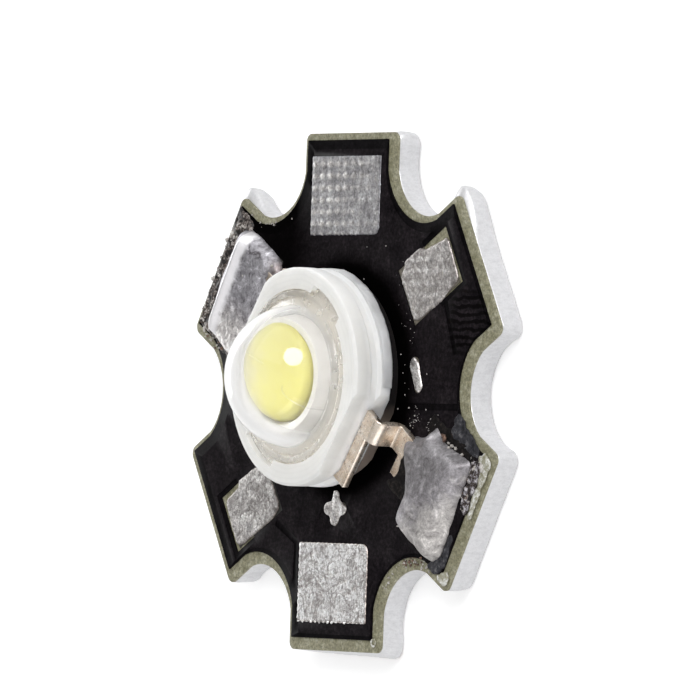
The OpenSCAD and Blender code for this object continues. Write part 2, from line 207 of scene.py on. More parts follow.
class Paint(Nodes):
    """A material round one Principled shader."""

    def __init__(self, name, color, rough, metallic=0.0, spec=0.5, **values):
        self.mat = bpy.data.materials.new(name)
        self.mat.use_nodes = True
        super().__init__(self.mat.node_tree, "OutputMaterial")
        self.p = self.add("BsdfPrincipled", Base_Color=rgba(color), Roughness=rough, Metallic=metallic,
                          Specular_IOR_Level=spec, **values)
        self.link(self.p.outputs[0], self.out)
        self.coords = self.add("TexCoord").outputs["Object"]
        parts = self.add("SeparateXYZ")
        self.link(self.mapped(), parts.inputs[0])
        self.x, self.y, self.z = parts.outputs
        self.height = None

    def mapped(self, scale=FULL):
        """The place on the piece in millimetres, stretched."""
        node = self.add("Mapping", Scale=[s / MM for s in scale])
        self.link(self.coords, node.inputs["Vector"])
        return node.outputs[0]

    def noise(self, scale, detail=3.0, rough=0.5, distort=0.0, stretch=FULL):
        """Noise with about scale cells in each millimetre."""
        node = self.add("TexNoise", Scale=scale, Detail=detail, Roughness=rough, Distortion=distort)
        self.link(self.mapped(stretch), node.inputs["Vector"])
        return node.outputs["Fac"]

    def ramp(self, fac, stops):
        """The colour at fac, between stops that are given as (place, colour)."""
        node = self.add("ValToRGB")
        elements = node.color_ramp.elements
        while len(elements) < len(stops):
            elements.new(0.5)
        for element, (at, color) in zip(elements, stops):
            element.position = at
            element.color = rgba(color)
        self.link(fac, node.inputs[0])
        return node.outputs[0]

    def mix(self, fac, a, b, how="MIX"):
        """A mix of two colours."""
        node = self.add("Mix")
        node.data_type = "RGBA"
        node.blend_type = how
        for k, source in ((0, fac), (6, a), (7, b)):
            self.feed(node.inputs[k], source)
        return node.outputs[2]

    def tinted(self, a, b):
        """One colour multiplied by another."""
        return self.mix(1.0, a, b, how="MULTIPLY")

    def color(self, source):
        self.link(source, self.p.inputs["Base Color"])

    def rough(self, fac, low, high):
        """Roughness that runs from low to high with a noise."""
        self.link(self.span(fac, 0.3, 0.7, low, high), self.p.inputs["Roughness"])

    def bump(self, fac, depth, strength=1.0):
        """Relief in the look of the surface, on top of the relief given before."""
        node = self.add("Bump", Strength=strength, Distance=depth * MM)
        self.link(fac, node.inputs["Height"])
        if self.height is not None:
            self.link(self.height, node.inputs["Normal"])
        self.height = node.outputs[0]
        self.link(self.height, self.p.inputs["Normal"])

    def on_dome(self, towards):
        """How far a point of the dome lies in a direction, as a share of its radius."""
        x, y, z = (self.times(v, towards[k] / DOME_R) for k, v in enumerate((self.x, self.y, self.z)))
        middle = (EMITTER[0] * towards[0] + EMITTER[1] * towards[1] + DOME_Z * towards[2]) / DOME_R
        return self.maths("SUBTRACT", self.plus(self.plus(x, y), z), middle)

    def radius(self, x, y):
        """Distance from the upright line through (x, y)."""
        x, y = self.maths("SUBTRACT", self.x, float(x)), self.maths("SUBTRACT", self.y, float(y))
        return self.maths("SQRT", self.plus(self.times(x, x), self.times(y, y)))


def make_world():
    """White where it is looked at.

    As a light it is a soft fill, with a dark card low on the left for the metals.
    """
    world = bpy.data.worlds.new("studio")
    scene.world = world
    world.use_nodes = True
    w = Nodes(world.node_tree, "OutputWorld")
    seen, fill, gloss = (w.add("Background", Color=rgba(1.0), Strength=level) for level in (1.0, 0.61, 0.5))
    card = w.add("VectorMath")
    card.operation = "DOT_PRODUCT"
    card.inputs[1].default_value = (-0.78, 0.03, 0.62)
    w.link(w.add("TexCoord").outputs["Generated"], card.inputs[0])
    shade = w.add("MapRange", From_Min=0.8, From_Max=0.93, To_Min=0.62, To_Max=0.1)
    shade.interpolation_type = "SMOOTHSTEP"
    w.link(card.outputs["Value"], shade.inputs["Value"])
    w.link(shade.outputs["Result"], gloss.inputs["Strength"])
    light = w.blend(w.light_path("Glossy"), fill.outputs[0], gloss.outputs[0])
    w.link(w.blend(w.light_path("Camera", "Transmission"), light, seen.outputs[0]), w.out)


make_world()
scene.view_settings.view_transform = "Standard"


# ---- materials ----
def aluminium():
    m = Paint("aluminium", (0.7, 0.7, 0.72), 0.5, metallic=0.3)
    grain = m.noise(7, 4, 0.65, stretch=(1, 1, 0.5))
    specks = m.noise(16, 3, 0.6)
    shade = m.ramp(grain, [(0.3, (0.6, 0.6, 0.615)), (0.6, (0.7, 0.7, 0.715))])
    shade = m.mix(m.span(specks, 0.5, 0.8, 0, 0.5), shade, (0.5, 0.49, 0.5))
    # Painted shadow: a dark brown line along the foot of the end wall at -Y, where the board meets the
    # floor
    darkened = m.times(m.span(m.z, 0.1, 0.02), m.span(m.y, -9.3, -9.5, 0, 0.8))
    m.color(m.mix(darkened, shade, (0.3, 0.2, 0.15)))
    m.rough(specks, 0.34, 0.52)
    m.bump(grain, 0.012, 0.5)
    m.bump(m.noise(30, 3, 0.6), 0.006, 0.4)
    return m.mat


def resin():
    m = Paint("resin_layer", (0.26, 0.245, 0.145), 0.55, spec=0.35)
    tones = [(0.28, (0.16, 0.15, 0.085)), (0.5, (0.24, 0.23, 0.15)), (0.75, (0.38, 0.37, 0.28))]
    grain = m.ramp(m.noise(9, 5, 0.8), [(0.3, (0.45, 0.43, 0.38)), (0.5, 1.0), (0.7, (1.7, 1.7, 1.75))])
    m.color(m.tinted(m.ramp(m.noise(4, 5, 0.65), tones), grain))
    m.bump(m.noise(20, 4, 0.65), 0.008, 0.4)
    return m.mat


def lacquer():
    """Black solder mask: a little lighter where it lies over foil and darker in the etched gaps, with
    painted shade that makes it blackest close to the emitter and towards the upper left.
    """
    m = Paint("solder_mask", (0.008, 0.007, 0.0085), 0.36, spec=0.015)
    haze = m.noise(1.3, 5, 0.65)
    low = m.ramp(haze, [(0.35, (0.003, 0.0026, 0.003)), (0.7, (0.006, 0.005, 0.006))])
    tones = [(0.3, (0.006, 0.005, 0.006)), (0.55, (0.011, 0.009, 0.0105)), (0.8, (0.024, 0.02, 0.0225))]
    over_foil = m.span(m.z, BOARD_TOP - 0.012, BOARD_TOP - 0.004)
    grain = m.ramp(m.noise(7, 6, 0.85), [(0.32, 0.3), (0.5, 1.0), (0.68, (2.6, 2.5, 2.5))])
    tone = m.tinted(m.mix(over_foil, low, m.ramp(haze, tones)), grain)
    # Fine dark stripes to the right of the upper right pad
    wave = m.plus(m.times(m.y, 22.5), m.span(m.noise(1.6, 3), 0.3, 0.7, -1.8, 1.8))
    dark_stripes = m.span(m.maths("SINE", wave), -0.2, 0.4)
    patch = m.times(m.span(m.x, 6.3, 6.7), m.span(m.y, 3.9, 3.5))
    dark_stripes = m.times(dark_stripes, m.times(patch, m.span(m.y, 1.2, 1.7)))
    tone = m.mix(m.times(dark_stripes, 0.85), tone, (0.0012, 0.001, 0.001))
    # Painted shade: blackest, and without gloss, close to the emitter and towards the upper left
    up_left = m.times(m.span(m.x, -1.5, -3.5), m.span(m.y, 1.5, 3.0))
    outside_painted_shade = m.times(m.span(m.radius(*EMITTER), 4.1, 4.8), m.span(up_left, 0, 1, 1, 0.1))
    m.color(m.mix(outside_painted_shade, (0.0015, 0.0013, 0.0013), tone))
    m.link(m.span(outside_painted_shade, 0.2, 1, 0.0, 0.015), m.p.inputs["Specular IOR Level"])
    m.rough(haze, 0.28, 0.48)
    m.bump(m.noise(9, 5, 0.65), 0.006, 0.5)
    return m.mat


def copper_foil():
    """Foil under the mask, and the thin tarnished edge of it in the openings."""
    m = Paint("copper_foil", (0.16, 0.14, 0.115), 0.5, metallic=0.4)
    tarnish = m.ramp(m.noise(6, 3), [(0.3, (0.11, 0.1, 0.08)), (0.7, (0.2, 0.18, 0.145))])
    m.color(m.mix(m.span(m.x, -2, 2), (0.045, 0.045, 0.04), tarnish))
    m.bump(m.noise(20, 2), 0.004, 0.4)
    return m.mat


def tin(name, low, high, level=1.0, deep=(0.55, 0.5, 0.48), vein=0.6):
    """Dull tin with dark veins.

    Its tone goes from deep at the height low to full at high. level is its brightness, and vein the
    strength of its veins.
    """
    m = Paint(name, (0.7, 0.68, 0.67), 0.45, metallic=0.75)
    patch = m.noise(2.2, 5, 0.65, distort=0.5)
    fine = m.noise(9, 4, 0.85)
    tones = [(0.3, (0.36, 0.35, 0.35)), (0.5, (0.62, 0.6, 0.585)), (0.7, (0.92, 0.9, 0.87))]
    base = m.ramp(patch, [(at, tuple(min(1.0, level * c) for c in tone)) for at, tone in tones])
    base = m.tinted(base, m.ramp(m.span(m.z, low, high), [(0, deep), (1, FULL)]))
    base = m.tinted(base, m.ramp(fine, [(0.34, (0.45, 0.43, 0.42)), (0.5, 0.95), (0.66, 1.55)]))
    dark = tuple(0.13 * level * c for c in (1, 0.86, 0.8))
    for scale, width in ((0.9, 0.045), (2.4, 0.034)):
        ridge = m.maths("ABSOLUTE", m.maths("SUBTRACT", m.noise(scale, 3, 0.55, distort=1.0), 0.5))
        base = m.mix(m.span(ridge, 0, width, vein, 0), base, dark)
    m.color(base)
    m.rough(fine, 0.28, 0.55)
    m.bump(fine, 0.02, 0.7)
    return m.mat


def solder(name, shaded_cold_at, lit_warm_at, tones, mottle, gloss, highlight_band=None, shade_spot=None):
    """Dull solder that goes from a darker bluish to a lighter warm grey between two points, given as (x,
    y): the hues are the solder's own, the darker and lighter ends painted shade and painted light.

    tones are the colours from the one to the other, mottle is how uneven they are, and gloss is the
    lowest roughness. The next argument is an optional painted highlight, a bright strip with painted
    shade beyond it, as (direction in degrees, from, to). The last is an optional spot of painted shade,
    as (x, y, radius).
    """
    m = Paint(name, (0.6, 0.59, 0.6), 0.4, metallic=0.8)
    run = (lit_warm_at[0] - shaded_cold_at[0], lit_warm_at[1] - shaded_cold_at[1])
    length = math.hypot(*run)
    along = m.plus(m.times(m.maths("SUBTRACT", m.x, shaded_cold_at[0]), run[0] / length**2),
                   m.times(m.maths("SUBTRACT", m.y, shaded_cold_at[1]), run[1] / length**2))
    place = m.plus(along, m.span(m.noise(1.8, 5, 0.62, distort=0.3), 0.2, 0.8, -0.35, 0.35))
    fine = m.noise(8, 5, 0.8)
    # The tones run from painted shade at the first point to painted light at the second, over the solder's
    # own bluish and warm hues
    base = m.ramp(place, list(zip((0.0, 0.45, 0.9), tones)))
    base = m.tinted(base, m.ramp(fine, [(0.3, (0.62, 0.61, 0.61)), (0.5, 1.0), (0.7, 1.3)]))
    blots = m.ramp(
        m.noise(2.3, 6, 0.75, distort=0.8),
        [(0.32, (0.2, 0.18, 0.18)), (0.44, (0.7, 0.69, 0.7)), (0.56, 1.08), (0.68, (1.9, 1.9, 1.92))],
    )
    base = m.mix(mottle, base, m.tinted(base, blots))
    # Painted highlight: a bright strip along the crest, and painted shade beyond it
    if highlight_band:
        turn, start, end = math.radians(highlight_band[0]), highlight_band[1], highlight_band[2]
        u = m.plus(m.times(m.x, math.cos(turn)), m.times(m.y, math.sin(turn)))
        u = m.plus(u, m.span(m.noise(2.0, 4, 0.6), 0.2, 0.8, -0.1, 0.1))
        base = m.mix(m.span(u, start - 0.16, start + 0.02, 0, 0.9), base, (0.95, 0.94, 0.96))
        base = m.mix(m.span(u, end - 0.04, end + 0.12), base, (0.4, 0.39, 0.42))
    # Painted shade: a dark spot that takes the light off one place
    if shade_spot:
        x, y, r = shade_spot
        base = m.mix(m.span(m.radius(x, y), 0.35 * r, r, 0.85, 0), base, (0.07, 0.05, 0.045))
    m.color(base)
    m.rough(fine, gloss, gloss + 0.2)
    m.bump(fine, 0.01, 0.5)
    return m.mat


def white_moulding():
    """White plastic with painted light and shade: paler on the walls than on the front face, beige-grey in
    painted shade under the lens, and dark in painted shade on the skirt below the rim.
    """
    m = Paint("white_moulding", (0.84, 0.83, 0.81), 0.55, spec=0.28, Subsurface_Weight=0.8,
              Subsurface_Radius=(1, 0.97, 0.92), Subsurface_Scale=0.7 * MM)
    cloud = m.noise(1.4, 4, 0.55)
    r = m.radius(*EMITTER)
    # Painted light and shade: the front face darker, the walls and the rim towards +Y paler
    shell = m.ramp(cloud, [(0.3, (0.73, 0.728, 0.71)), (0.7, (0.78, 0.778, 0.762))])
    pale = m.ramp(cloud, [(0.3, (0.91, 0.908, 0.895)), (0.7, (0.95, 0.948, 0.935))])
    lit_side = m.times(m.span(m.y, 1.5, 3.8, 0, 0.9), m.span(m.z, 3.42, 3.34))
    shell = m.mix(m.span(m.z, 2.95, 2.7), m.mix(lit_side, shell, pale), pale)
    turns = m.maths("SINE", m.times(m.plus(r, m.span(cloud, 0, 1, 0, 0.25)), 33.0))
    shell = m.mix(m.span(turns, -0.2, 1.0, 0, 0.1), shell, (0.55, 0.545, 0.53))
    # Painted shade under the lens: the bed of the flange, and within it the wall round the cup, darker
    # towards +X
    inside_rim = m.times(m.span(r, 3.34, 3.24), m.span(m.z, 3.44, 3.4))
    bed = m.ramp(m.span(m.z, 3.0, 3.3), [(0.1, (0.6, 0.575, 0.53)), (0.5, (0.44, 0.41, 0.37))])
    cup = m.ramp(m.span(m.x, -1.0, 1.5), [(0, (0.67, 0.66, 0.64)), (1, (0.455, 0.443, 0.42))])
    body = m.mix(inside_rim, shell, m.mix(m.span(r, 2.5, 2.2), bed, cup))
    # Painted shade on the skirt below the rim: brown-grey towards -Y, near black elsewhere
    skirt = m.ramp(m.span(m.y, -1.1, -0.4), [(0, (0.24, 0.195, 0.165)), (1, (0.012, 0.01, 0.01))])
    m.color(m.mix(m.span(m.z, 1.8, 1.76), body, skirt))
    m.rough(m.noise(5, 3), 0.48, 0.66)
    m.bump(m.noise(7, 4, 0.6), 0.012, 0.5)
    return m.mat


def plated_lead():
    m = Paint("plated_lead", (0.8, 0.75, 0.68), 0.3, metallic=0.75)
    tones = [(0.3, (0.56, 0.45, 0.35)), (0.5, (0.74, 0.64, 0.54)), (0.7, (0.9, 0.84, 0.76))]
    darkened = m.span(m.noise(3.1, 5, 0.75, distort=0.5), 0.6, 0.68, 0, 0.8)
    strip = m.mix(darkened, m.ramp(m.noise(1.7, 5, 0.65), tones), (0.2, 0.12, 0.08))
    m.color(m.mix(m.span(m.radius(*EMITTER), 3.0, 2.8), strip, (0.9, 0.89, 0.86)))
    m.rough(m.noise(6, 3), 0.2, 0.4)
    m.bump(m.noise(3, 3), 0.02, 0.35)
    return m.mat


def silver_slug():
    m = Paint("silver_slug", (0.9, 0.88, 0.86), 0.5, metallic=0.35)
    m.color(m.ramp(m.noise(2, 3), [(0.3, (0.7, 0.685, 0.66)), (0.7, (0.78, 0.765, 0.745))]))
    m.rough(m.noise(4, 3), 0.42, 0.55)
    return m.mat


def powder_with_painted_light(m):
    """Yellow of the powder with painted light: paler towards -X, where the dome's white veil is painted in,
    and a little darker towards +Y as painted shade.
    """
    across = m.plus(m.x, m.span(m.noise(1.2, 3), 0.2, 0.8, -0.35, 0.35))
    tones = [(0.05, (0.595, 0.561, 0.325)), (0.38, (0.662, 0.623, 0.208)), (0.75, (0.657, 0.612, 0.178))]
    return m.mix(m.span(m.y, -0.4, 1.5, 0, 0.2), m.ramp(m.span(across, -1.2, 1.2), tones), BLACK)


def phosphor():
    """Yellow powder in resin, paler towards -X, where the white veil that the dome spreads over it is
    painted in.
    """
    m = Paint("phosphor", (0.86, 0.78, 0.2), 0.5, spec=0.3, Subsurface_Weight=0.2,
              Subsurface_Radius=(1, 0.9, 0.4), Subsurface_Scale=0.15 * MM)
    m.color(m.mix(m.span(m.noise(9, 3), 0.4, 0.7, 0, 0.25), powder_with_painted_light(m), (0.61, 0.575, 0.27)))
    m.bump(m.noise(24, 2), 0.004, 0.4)
    return m.mat


def dark_crystal():
    m = Paint("led_die", (0.08, 0.13, 0.22), 0.15)
    m.rough(m.noise(12, 2), 0.1, 0.2)
    return m.mat


def paste(name, color):
    m = Paint(name, color, 0.6)
    tones = [(at, tuple(part * c for c in color)) for at, part in ((0.3, 0.85), (0.7, 1.1))]
    m.color(m.ramp(m.noise(6, 3), tones))
    m.bump(m.noise(12, 3), 0.01, 0.4)
    return m.mat


def pale_wire():
    """Bond wire as the milky dome shows it: over the cup the powder's yellow, with its painted veil and
    shade, and pale outside it.
    """
    m = Paint("pale_wire", (0.9, 0.89, 0.86), 0.6, spec=0.1)
    m.color(m.mix(m.span(m.radius(*EMITTER), 1.26, 1.36), powder_with_painted_light(m), (0.86, 0.845, 0.81)))
    m.bump(m.noise(14, 3), 0.004, 0.3)
    hidden = m.span(m.noise(2, 2), 0.3, 0.7, 0.84, 0.94)
    m.link(m.blend(hidden, m.p.outputs[0], m.add("BsdfTransparent").outputs[0]), m.out)
    return m.mat


def flux(name, tones, scale, spec=0.35):
    """Dried flux: patches of the tones that are given, with a little gloss."""
    m = Paint(name, tones[-1][1], 0.4, spec=spec)
    m.color(m.ramp(m.noise(scale, 4, 0.75, distort=0.15), tones))
    m.rough(m.noise(7, 3), 0.75 - spec, 0.95 - spec)
    m.bump(m.noise(10, 4, 0.7), 0.012, 0.6)
    return m.mat


def clear_plastic():
    """Clear resin that lets the lamps through to what it covers.

    The dome has a milky veil along its rim, strongest on the picture's lower left: partly the resin's
    haze and partly a painted reflection of the bright left. The flange is rougher and tinted beige,
    partly its own tint and partly painted shade.
    """
    m = Paint("clear_resin", (0.97, 0.965, 0.95), 0.02, spec=0.9, IOR=1.45)
    graze = m.add("LayerWeight", Blend=0.5)
    # The veil is partly the resin's haze and partly a painted reflection of the bright left
    ring = m.plus(graze.outputs["Facing"], m.times(m.on_dome(-RIGHT * 0.8 - UP * 0.6), 0.31))
    veil = m.times(m.span(ring, 0.4, 0.76), m.span(m.z, 3.5, 3.7, 0.2, 1))
    m.link(m.span(veil, 0, 1, 0.92, 0.06), m.p.inputs["Transmission Weight"])
    m.link(m.span(veil, 0, 1, 0.9, 0.12), m.p.inputs["Specular IOR Level"])
    # Beige low on the flange: partly the resin's own tint, partly painted shade
    m.color(m.ramp(m.span(m.z, 3.3, 3.7), [(0.3, (0.9, 0.875, 0.84)), (0.7, (0.98, 0.978, 0.97))]))
    dull = m.times(m.span(m.z, 3.48, 3.66, 0.25, 0.06), m.span(m.noise(3, 2), 0.3, 0.7, 0.7, 1.3))
    m.link(dull, m.p.inputs["Roughness"])
    m.bump(m.noise(2.2, 3, 0.5), 0.01, 0.2)
    through = m.add("BsdfTransparent", Color=(0.94, 0.94, 0.93, 1))
    m.link(m.blend(m.light_path("Shadow"), m.p.outputs[0], through.outputs[0]), m.out)
    return m.mat


def floor_paint():
    """Pale floor that keeps shadows, with its own white added where it is only seen."""
    m = Paint("floor_paint", (0.9, 0.9, 0.9), 0.9, spec=0.0)
    m.color(m.ramp(m.noise(0.01, 2), [(0.3, 0.895), (0.7, 0.905)]))
    glow = m.add("Emission", Color=rgba(1.0))
    m.link(m.times(m.light_path("Camera", "Glossy", "Transmission"), FLOOR_GLOW), glow.inputs["Strength"])
    both = m.add("AddShader")
    m.link(m.p.outputs[0], both.inputs[0])
    m.link(glow.outputs[0], both.inputs[1])
    m.link(both.outputs[0], m.out)
    return m.mat


def make_floor(side=4.0, z=-0.02 * MM):
    mesh = bpy.data.meshes.new("floor")
    corners = [(-side, -side, z), (side, -side, z), (side, side, z), (-side, side, z)]
    mesh.from_pydata(corners, [], [(0, 1, 2, 3)])
    mesh.materials.append(floor_paint())
    placed("floor", mesh)


make_floor()

ALUMINIUM = aluminium()
WHITE = white_moulding()
CLEAR = clear_plastic()

# Plain tin also goes on the nodes that a finer piece takes the place of further down
for mat, names in (
    (ALUMINIUM, "base_plate"),
    (resin(), "dielectric_layer"),
    (copper_foil(), "anode_foil cathode_foil thermal_land"),
    (lacquer(), "solder_mask"),
    (tin("tin", 1.1, 1.12), "tin_pad_top tin_pad_bottom tin_pad_upper_right tin_pad_lower_left plus_mark "
                             "minus_mark solder_joint_right solder_joint_left phosphor"),
    (paste("thermal_paste", (0.3, 0.3, 0.31)), "thermal_bond"),
    (silver_slug(), "heat_slug"),
    (WHITE, "body_moulding"),
    (plated_lead(), "lead_right lead_left"),
    (paste("die_paste", (0.4, 0.4, 0.42)), "die_attach"),
    (dark_crystal(), "led_die"),
    (pale_wire(), "bond_wire_right bond_wire_left"),
    (CLEAR, "silicone_fill lens"),
):
    for name in names.split():
        data = nodes[name].data
        data.materials.clear()
        data.materials.append(mat)
        for poly in data.polygons:
            poly.material_index = 0


# ---- geometry helpers, in millimetres ----
def around(centre, r, a):
    """The (x, y) at the distance r from a centre, in the direction a."""
    return centre[0] + r * math.cos(a), centre[1] + r * math.sin(a)


def new_piece(name, verts, faces, mat):
    mesh = bpy.data.meshes.new(name)
    mesh.from_pydata([(x * MM, y * MM, z * MM) for x, y, z in verts], [], faces)
    mesh.validate()
    bm = bmesh.new()
    bm.from_mesh(mesh)
    bmesh.ops.recalc_face_normals(bm, faces=bm.faces)
    bm.to_mesh(mesh)
    bm.free()
    mesh.shade_smooth()
    mesh.materials.append(mat)
    obj = placed(name, mesh)
    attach(obj, "root")
    return obj


def soften(node, width, segments=2):
    """Welds a CAD node's split corners, rounds its edges a little and keeps its flat faces flat."""
    obj = nodes[node]
    for poly in obj.data.polygons:
        poly.use_smooth = True
    weld = obj.modifiers.new("weld", "WELD")
    weld.merge_threshold = 0.001 * MM
    bevel = obj.modifiers.new("edges", "BEVEL")
    bevel.width = width * MM
    bevel.segments = segments
    bevel.limit_method = "ANGLE"
    bevel.angle_limit = math.radians(35)
    bevel.use_clamp_overlap = True
    normals = obj.modifiers.new("normals", "WEIGHTED_NORMAL")
    normals.keep_sharp = False
    normals.weight = 80


def turned(count):
    """Angles all the way round, in equal steps."""
    return [2 * math.pi * k / count for k in range(count)]


def sleeve(rings, count, closed=False):
    """Faces between rings of count points. closed also joins the last ring to the first."""
    faces = []
    for i in range(rings if closed else rings - 1):
        here, there = i * count, (i + 1) % rings * count
        for k in range(count):
            n = (k + 1) % count
            faces.append((here + k, here + n, there + n, there + k))
    return faces


def close_to_point(verts, faces, count, point):
    """Closes a stack of rings at its end: the last ring runs to a point."""
    top = len(verts)
    last = top - count
    verts.append(point)
    faces += [(last + k, last + (k + 1) % count, top) for k in range(count)]


def even(line, step):
    """A closed line as points in equal steps."""
    loop = np.vstack([line, line[:1]])
    lengths = np.hypot(*np.diff(loop, axis=0).T)
    keep = np.append(True, lengths > 1e-9)
    loop, lengths = loop[keep], lengths[lengths > 1e-9]
    along = np.append(0, np.cumsum(lengths))
    count = max(24, int(round(along[-1] / step)))
    at = np.arange(count) * along[-1] / count
    return np.stack([np.interp(at, along, loop[:, i]) for i in (0, 1)], axis=1)


def rounded(points, radius, step):
    """A closed outline with its corners rounded off, as points in about equal steps."""
    points = [np.array(p, dtype=float) for p in points]
    dense = []
    for i, corner in enumerate(points):
        before, after = points[i - 1] - corner, points[(i + 1) % len(points)] - corner
        a, b = np.hypot(*before), np.hypot(*after)
        start = corner + before / a * min(radius, 0.45 * a)
        end = corner + after / b * min(radius, 0.45 * b)
        for t in np.linspace(0, 1, 7):
            dense.append((1 - t) ** 2 * start + 2 * t * (1 - t) * corner + t**2 * end)
    return even(np.array(dense), step)


def outward(line):
    """Unit vectors that point out of a closed line which runs counterclockwise."""
    run = np.roll(line, -1, axis=0) - np.roll(line, 1, axis=0)
    side = np.stack([run[:, 1], -run[:, 0]], axis=1)
    return side / np.hypot(*side.T)[:, None]


def counterclockwise(line):
    x, y = line[:, 0], line[:, 1]
    area = np.sum(x * np.roll(y, -1) - y * np.roll(x, -1))
    return line if area > 0 else line[::-1]


def field(x, y, scale, octaves, seed, squeeze=1):
    """Smooth noise of about -1 to 1, with scale cells in each millimetre."""
    out = np.empty(len(x))
    for i in range(len(x)):
        place = Vector((x[i] * scale + 17.3 * seed, y[i] * scale * squeeze - 9.1 * seed, 3.7 * seed))
        out[i] = noise.fractal(place, 0.8, 2.0, octaves)
    return out


def fray(line, waves, seed, teeth=0.0, period=1.0):
    """Gives an outline a little waviness, and small teeth as a screen print has."""
    line = counterclockwise(line)
    steps = np.hypot(*(np.roll(line, -1, axis=0) - line).T)
    along = np.append(0, np.cumsum(steps))[:-1]
    saw = teeth * np.abs(np.mod(along / period, 1) * 2 - 1)
    wave = waves * field(line[:, 0], line[:, 1], 3.0, 2, seed)
    return line + outward(line) * (saw + wave)[:, None]


def edge_distance(points, line):
    """Distance from each point to a closed line."""
    best = np.full(len(points), 1e9)
    for a, b in zip(line, np.roll(line, -1, axis=0)):
        run = b - a
        t = np.clip((points - a) @ run / (run @ run), 0, 1)
        best = np.minimum(best, np.hypot(*(points - a - t[:, None] * run).T))
    return best


def inside(points, line):
    """Tells which points lie within a closed line."""
    hit = np.zeros(len(points), dtype=bool)
    for a, b in zip(line, np.roll(line, -1, axis=0)):
        spans = (a[1] > points[:, 1]) != (b[1] > points[:, 1])
        if spans.any():
            cross = a[0] + (points[:, 1] - a[1]) * (b[0] - a[0]) / (b[1] - a[1] + 1e-15)
            hit ^= spans & (points[:, 0] < cross)
    return hit


def blurred(z, edge, faces, times):
    """Heights evened out with those of their neighbours, but for the ones on the edge."""
    pairs = np.array([(face[k], face[k - 1]) for face in faces for k in range(len(face))])
    for _ in range(times):
        total, share = np.zeros(len(z)), np.zeros(len(z))
        for a, b in ((0, 1), (1, 0)):
            np.add.at(total, pairs[:, a], z[pairs[:, b]])
            np.add.at(share, pairs[:, a], 1)
        z = np.where(edge, z, 0.4 * z + 0.6 * total / share)
    return z


def rim_of(faces, name):
    """The points along the open edge of a sheet, in order."""
    sides = dict.fromkeys((a, face[(k + 1) % len(face)]) for face in faces for k, a in enumerate(face))
    follow = {a: b for a, b in sides if (b, a) not in sides}
    chain = [min(follow)]
    while follow[chain[-1]] != chain[0]:
        chain.append(follow[chain[-1]])
        if len(chain) > len(follow):
            raise ValueError("the outline of " + name + " crosses itself")
    return chain


def mound(name, line, step, base, height, mat, slot_name=None, blur=0, detail=None):
    """A closed lump on an outline, with points about step apart.

    height gives the height above base, from x, y and the distance to the edge. blur is how often it is
    evened out, and detail is a finer relief that is added after that.
    """
    line = counterclockwise(np.asarray(line))
    low, high = line.min(axis=0), line.max(axis=0)
    spots = []
    for i, y in enumerate(np.arange(low[1], high[1], step * 0.866)):
        x = np.arange(low[0] + (i % 2) * step / 2, high[0], step)
        spots.append(np.stack([x, np.full(len(x), y)], axis=1))
    spots = np.vstack(spots)
    spots = spots[inside(spots, line)]
    spots = spots[edge_distance(spots, line) > step * 0.6]
    count = len(line)
    loop = [(k, (k + 1) % count) for k in range(count)]
    plan = [Vector(p) for p in np.vstack([line, spots])]
    flat, _, faces, origin, _, _ = geometry.delaunay_2d_cdt(plan, loop, [], 1, 1e-7)
    flat = np.array([tuple(p) for p in flat])
    edge = np.array([any(o < count for o in source) for source in origin])
    depth = edge_distance(flat, line)
    z = base + height(flat[:, 0], flat[:, 1], depth)
    z[edge] = base + 0.35 * (z[edge] - base)
    z = blurred(z, edge, faces, blur)
    if detail:
        z = z + np.where(edge, 0, detail(flat[:, 0], flat[:, 1], depth))
    verts = [(p[0], p[1], h) for p, h in zip(flat, z)]
    first = len(verts)
    rim = rim_of(faces, name)
    verts += [(flat[i][0], flat[i][1], base - 0.02) for i in rim]
    size = len(rim)
    walls = [(rim[k], rim[(k + 1) % size], first + (k + 1) % size, first + k) for k in range(size)]
    under = tuple(range(first, first + size))
    return new_piece(name, verts, [tuple(f) for f in faces] + walls + [under], mat)


def stand_in(node, suffix, *shape):
    """A mound that takes the place of a CAD node."""
    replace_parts(mound(node + suffix, *shape), node)


def slope(d, width):
    """Rises evenly from 0 at the edge to 1 at width."""
    return np.clip(d / width, 0, 1)


def dome_share(d, width):
    """Rises from 0 at the edge to 1 at width, as a quarter of an ellipse."""
    return np.sqrt(1 - (1 - slope(d, width)) ** 2)


def hill(d, width):
    """Falls from 1 at d = 0 to almost nothing at twice the width."""
    return np.exp(-((d / width) ** 2))


def crumbs(name, places, mat, seed):
    """Small uneven lumps. Each place is (x, y, z, radius)."""
    ball = bmesh.new()
    bmesh.ops.create_icosphere(ball, subdivisions=2, radius=1)
    shape = [v.co.copy() for v in ball.verts]
    sides = [tuple(v.index for v in f.verts) for f in ball.faces]
    ball.free()
    verts, faces = [], []
    for i, (x, y, z, r) in enumerate(places):
        first = len(verts)
        spread = 0.75 + 0.5 * noise.cell(Vector((i * 1.7, seed, 0.5)))
        for co in shape:
            k = r * (1 + 0.8 * noise.noise(co * 1.7 + Vector((i * 3.1, seed * 5.3, 0))))
            verts.append((x + co.x * k, y + co.y * k * spread, z + co.z * k * 0.55))
        faces += [tuple(first + v for v in side) for side in sides]
    new_piece(name, verts, faces, mat)


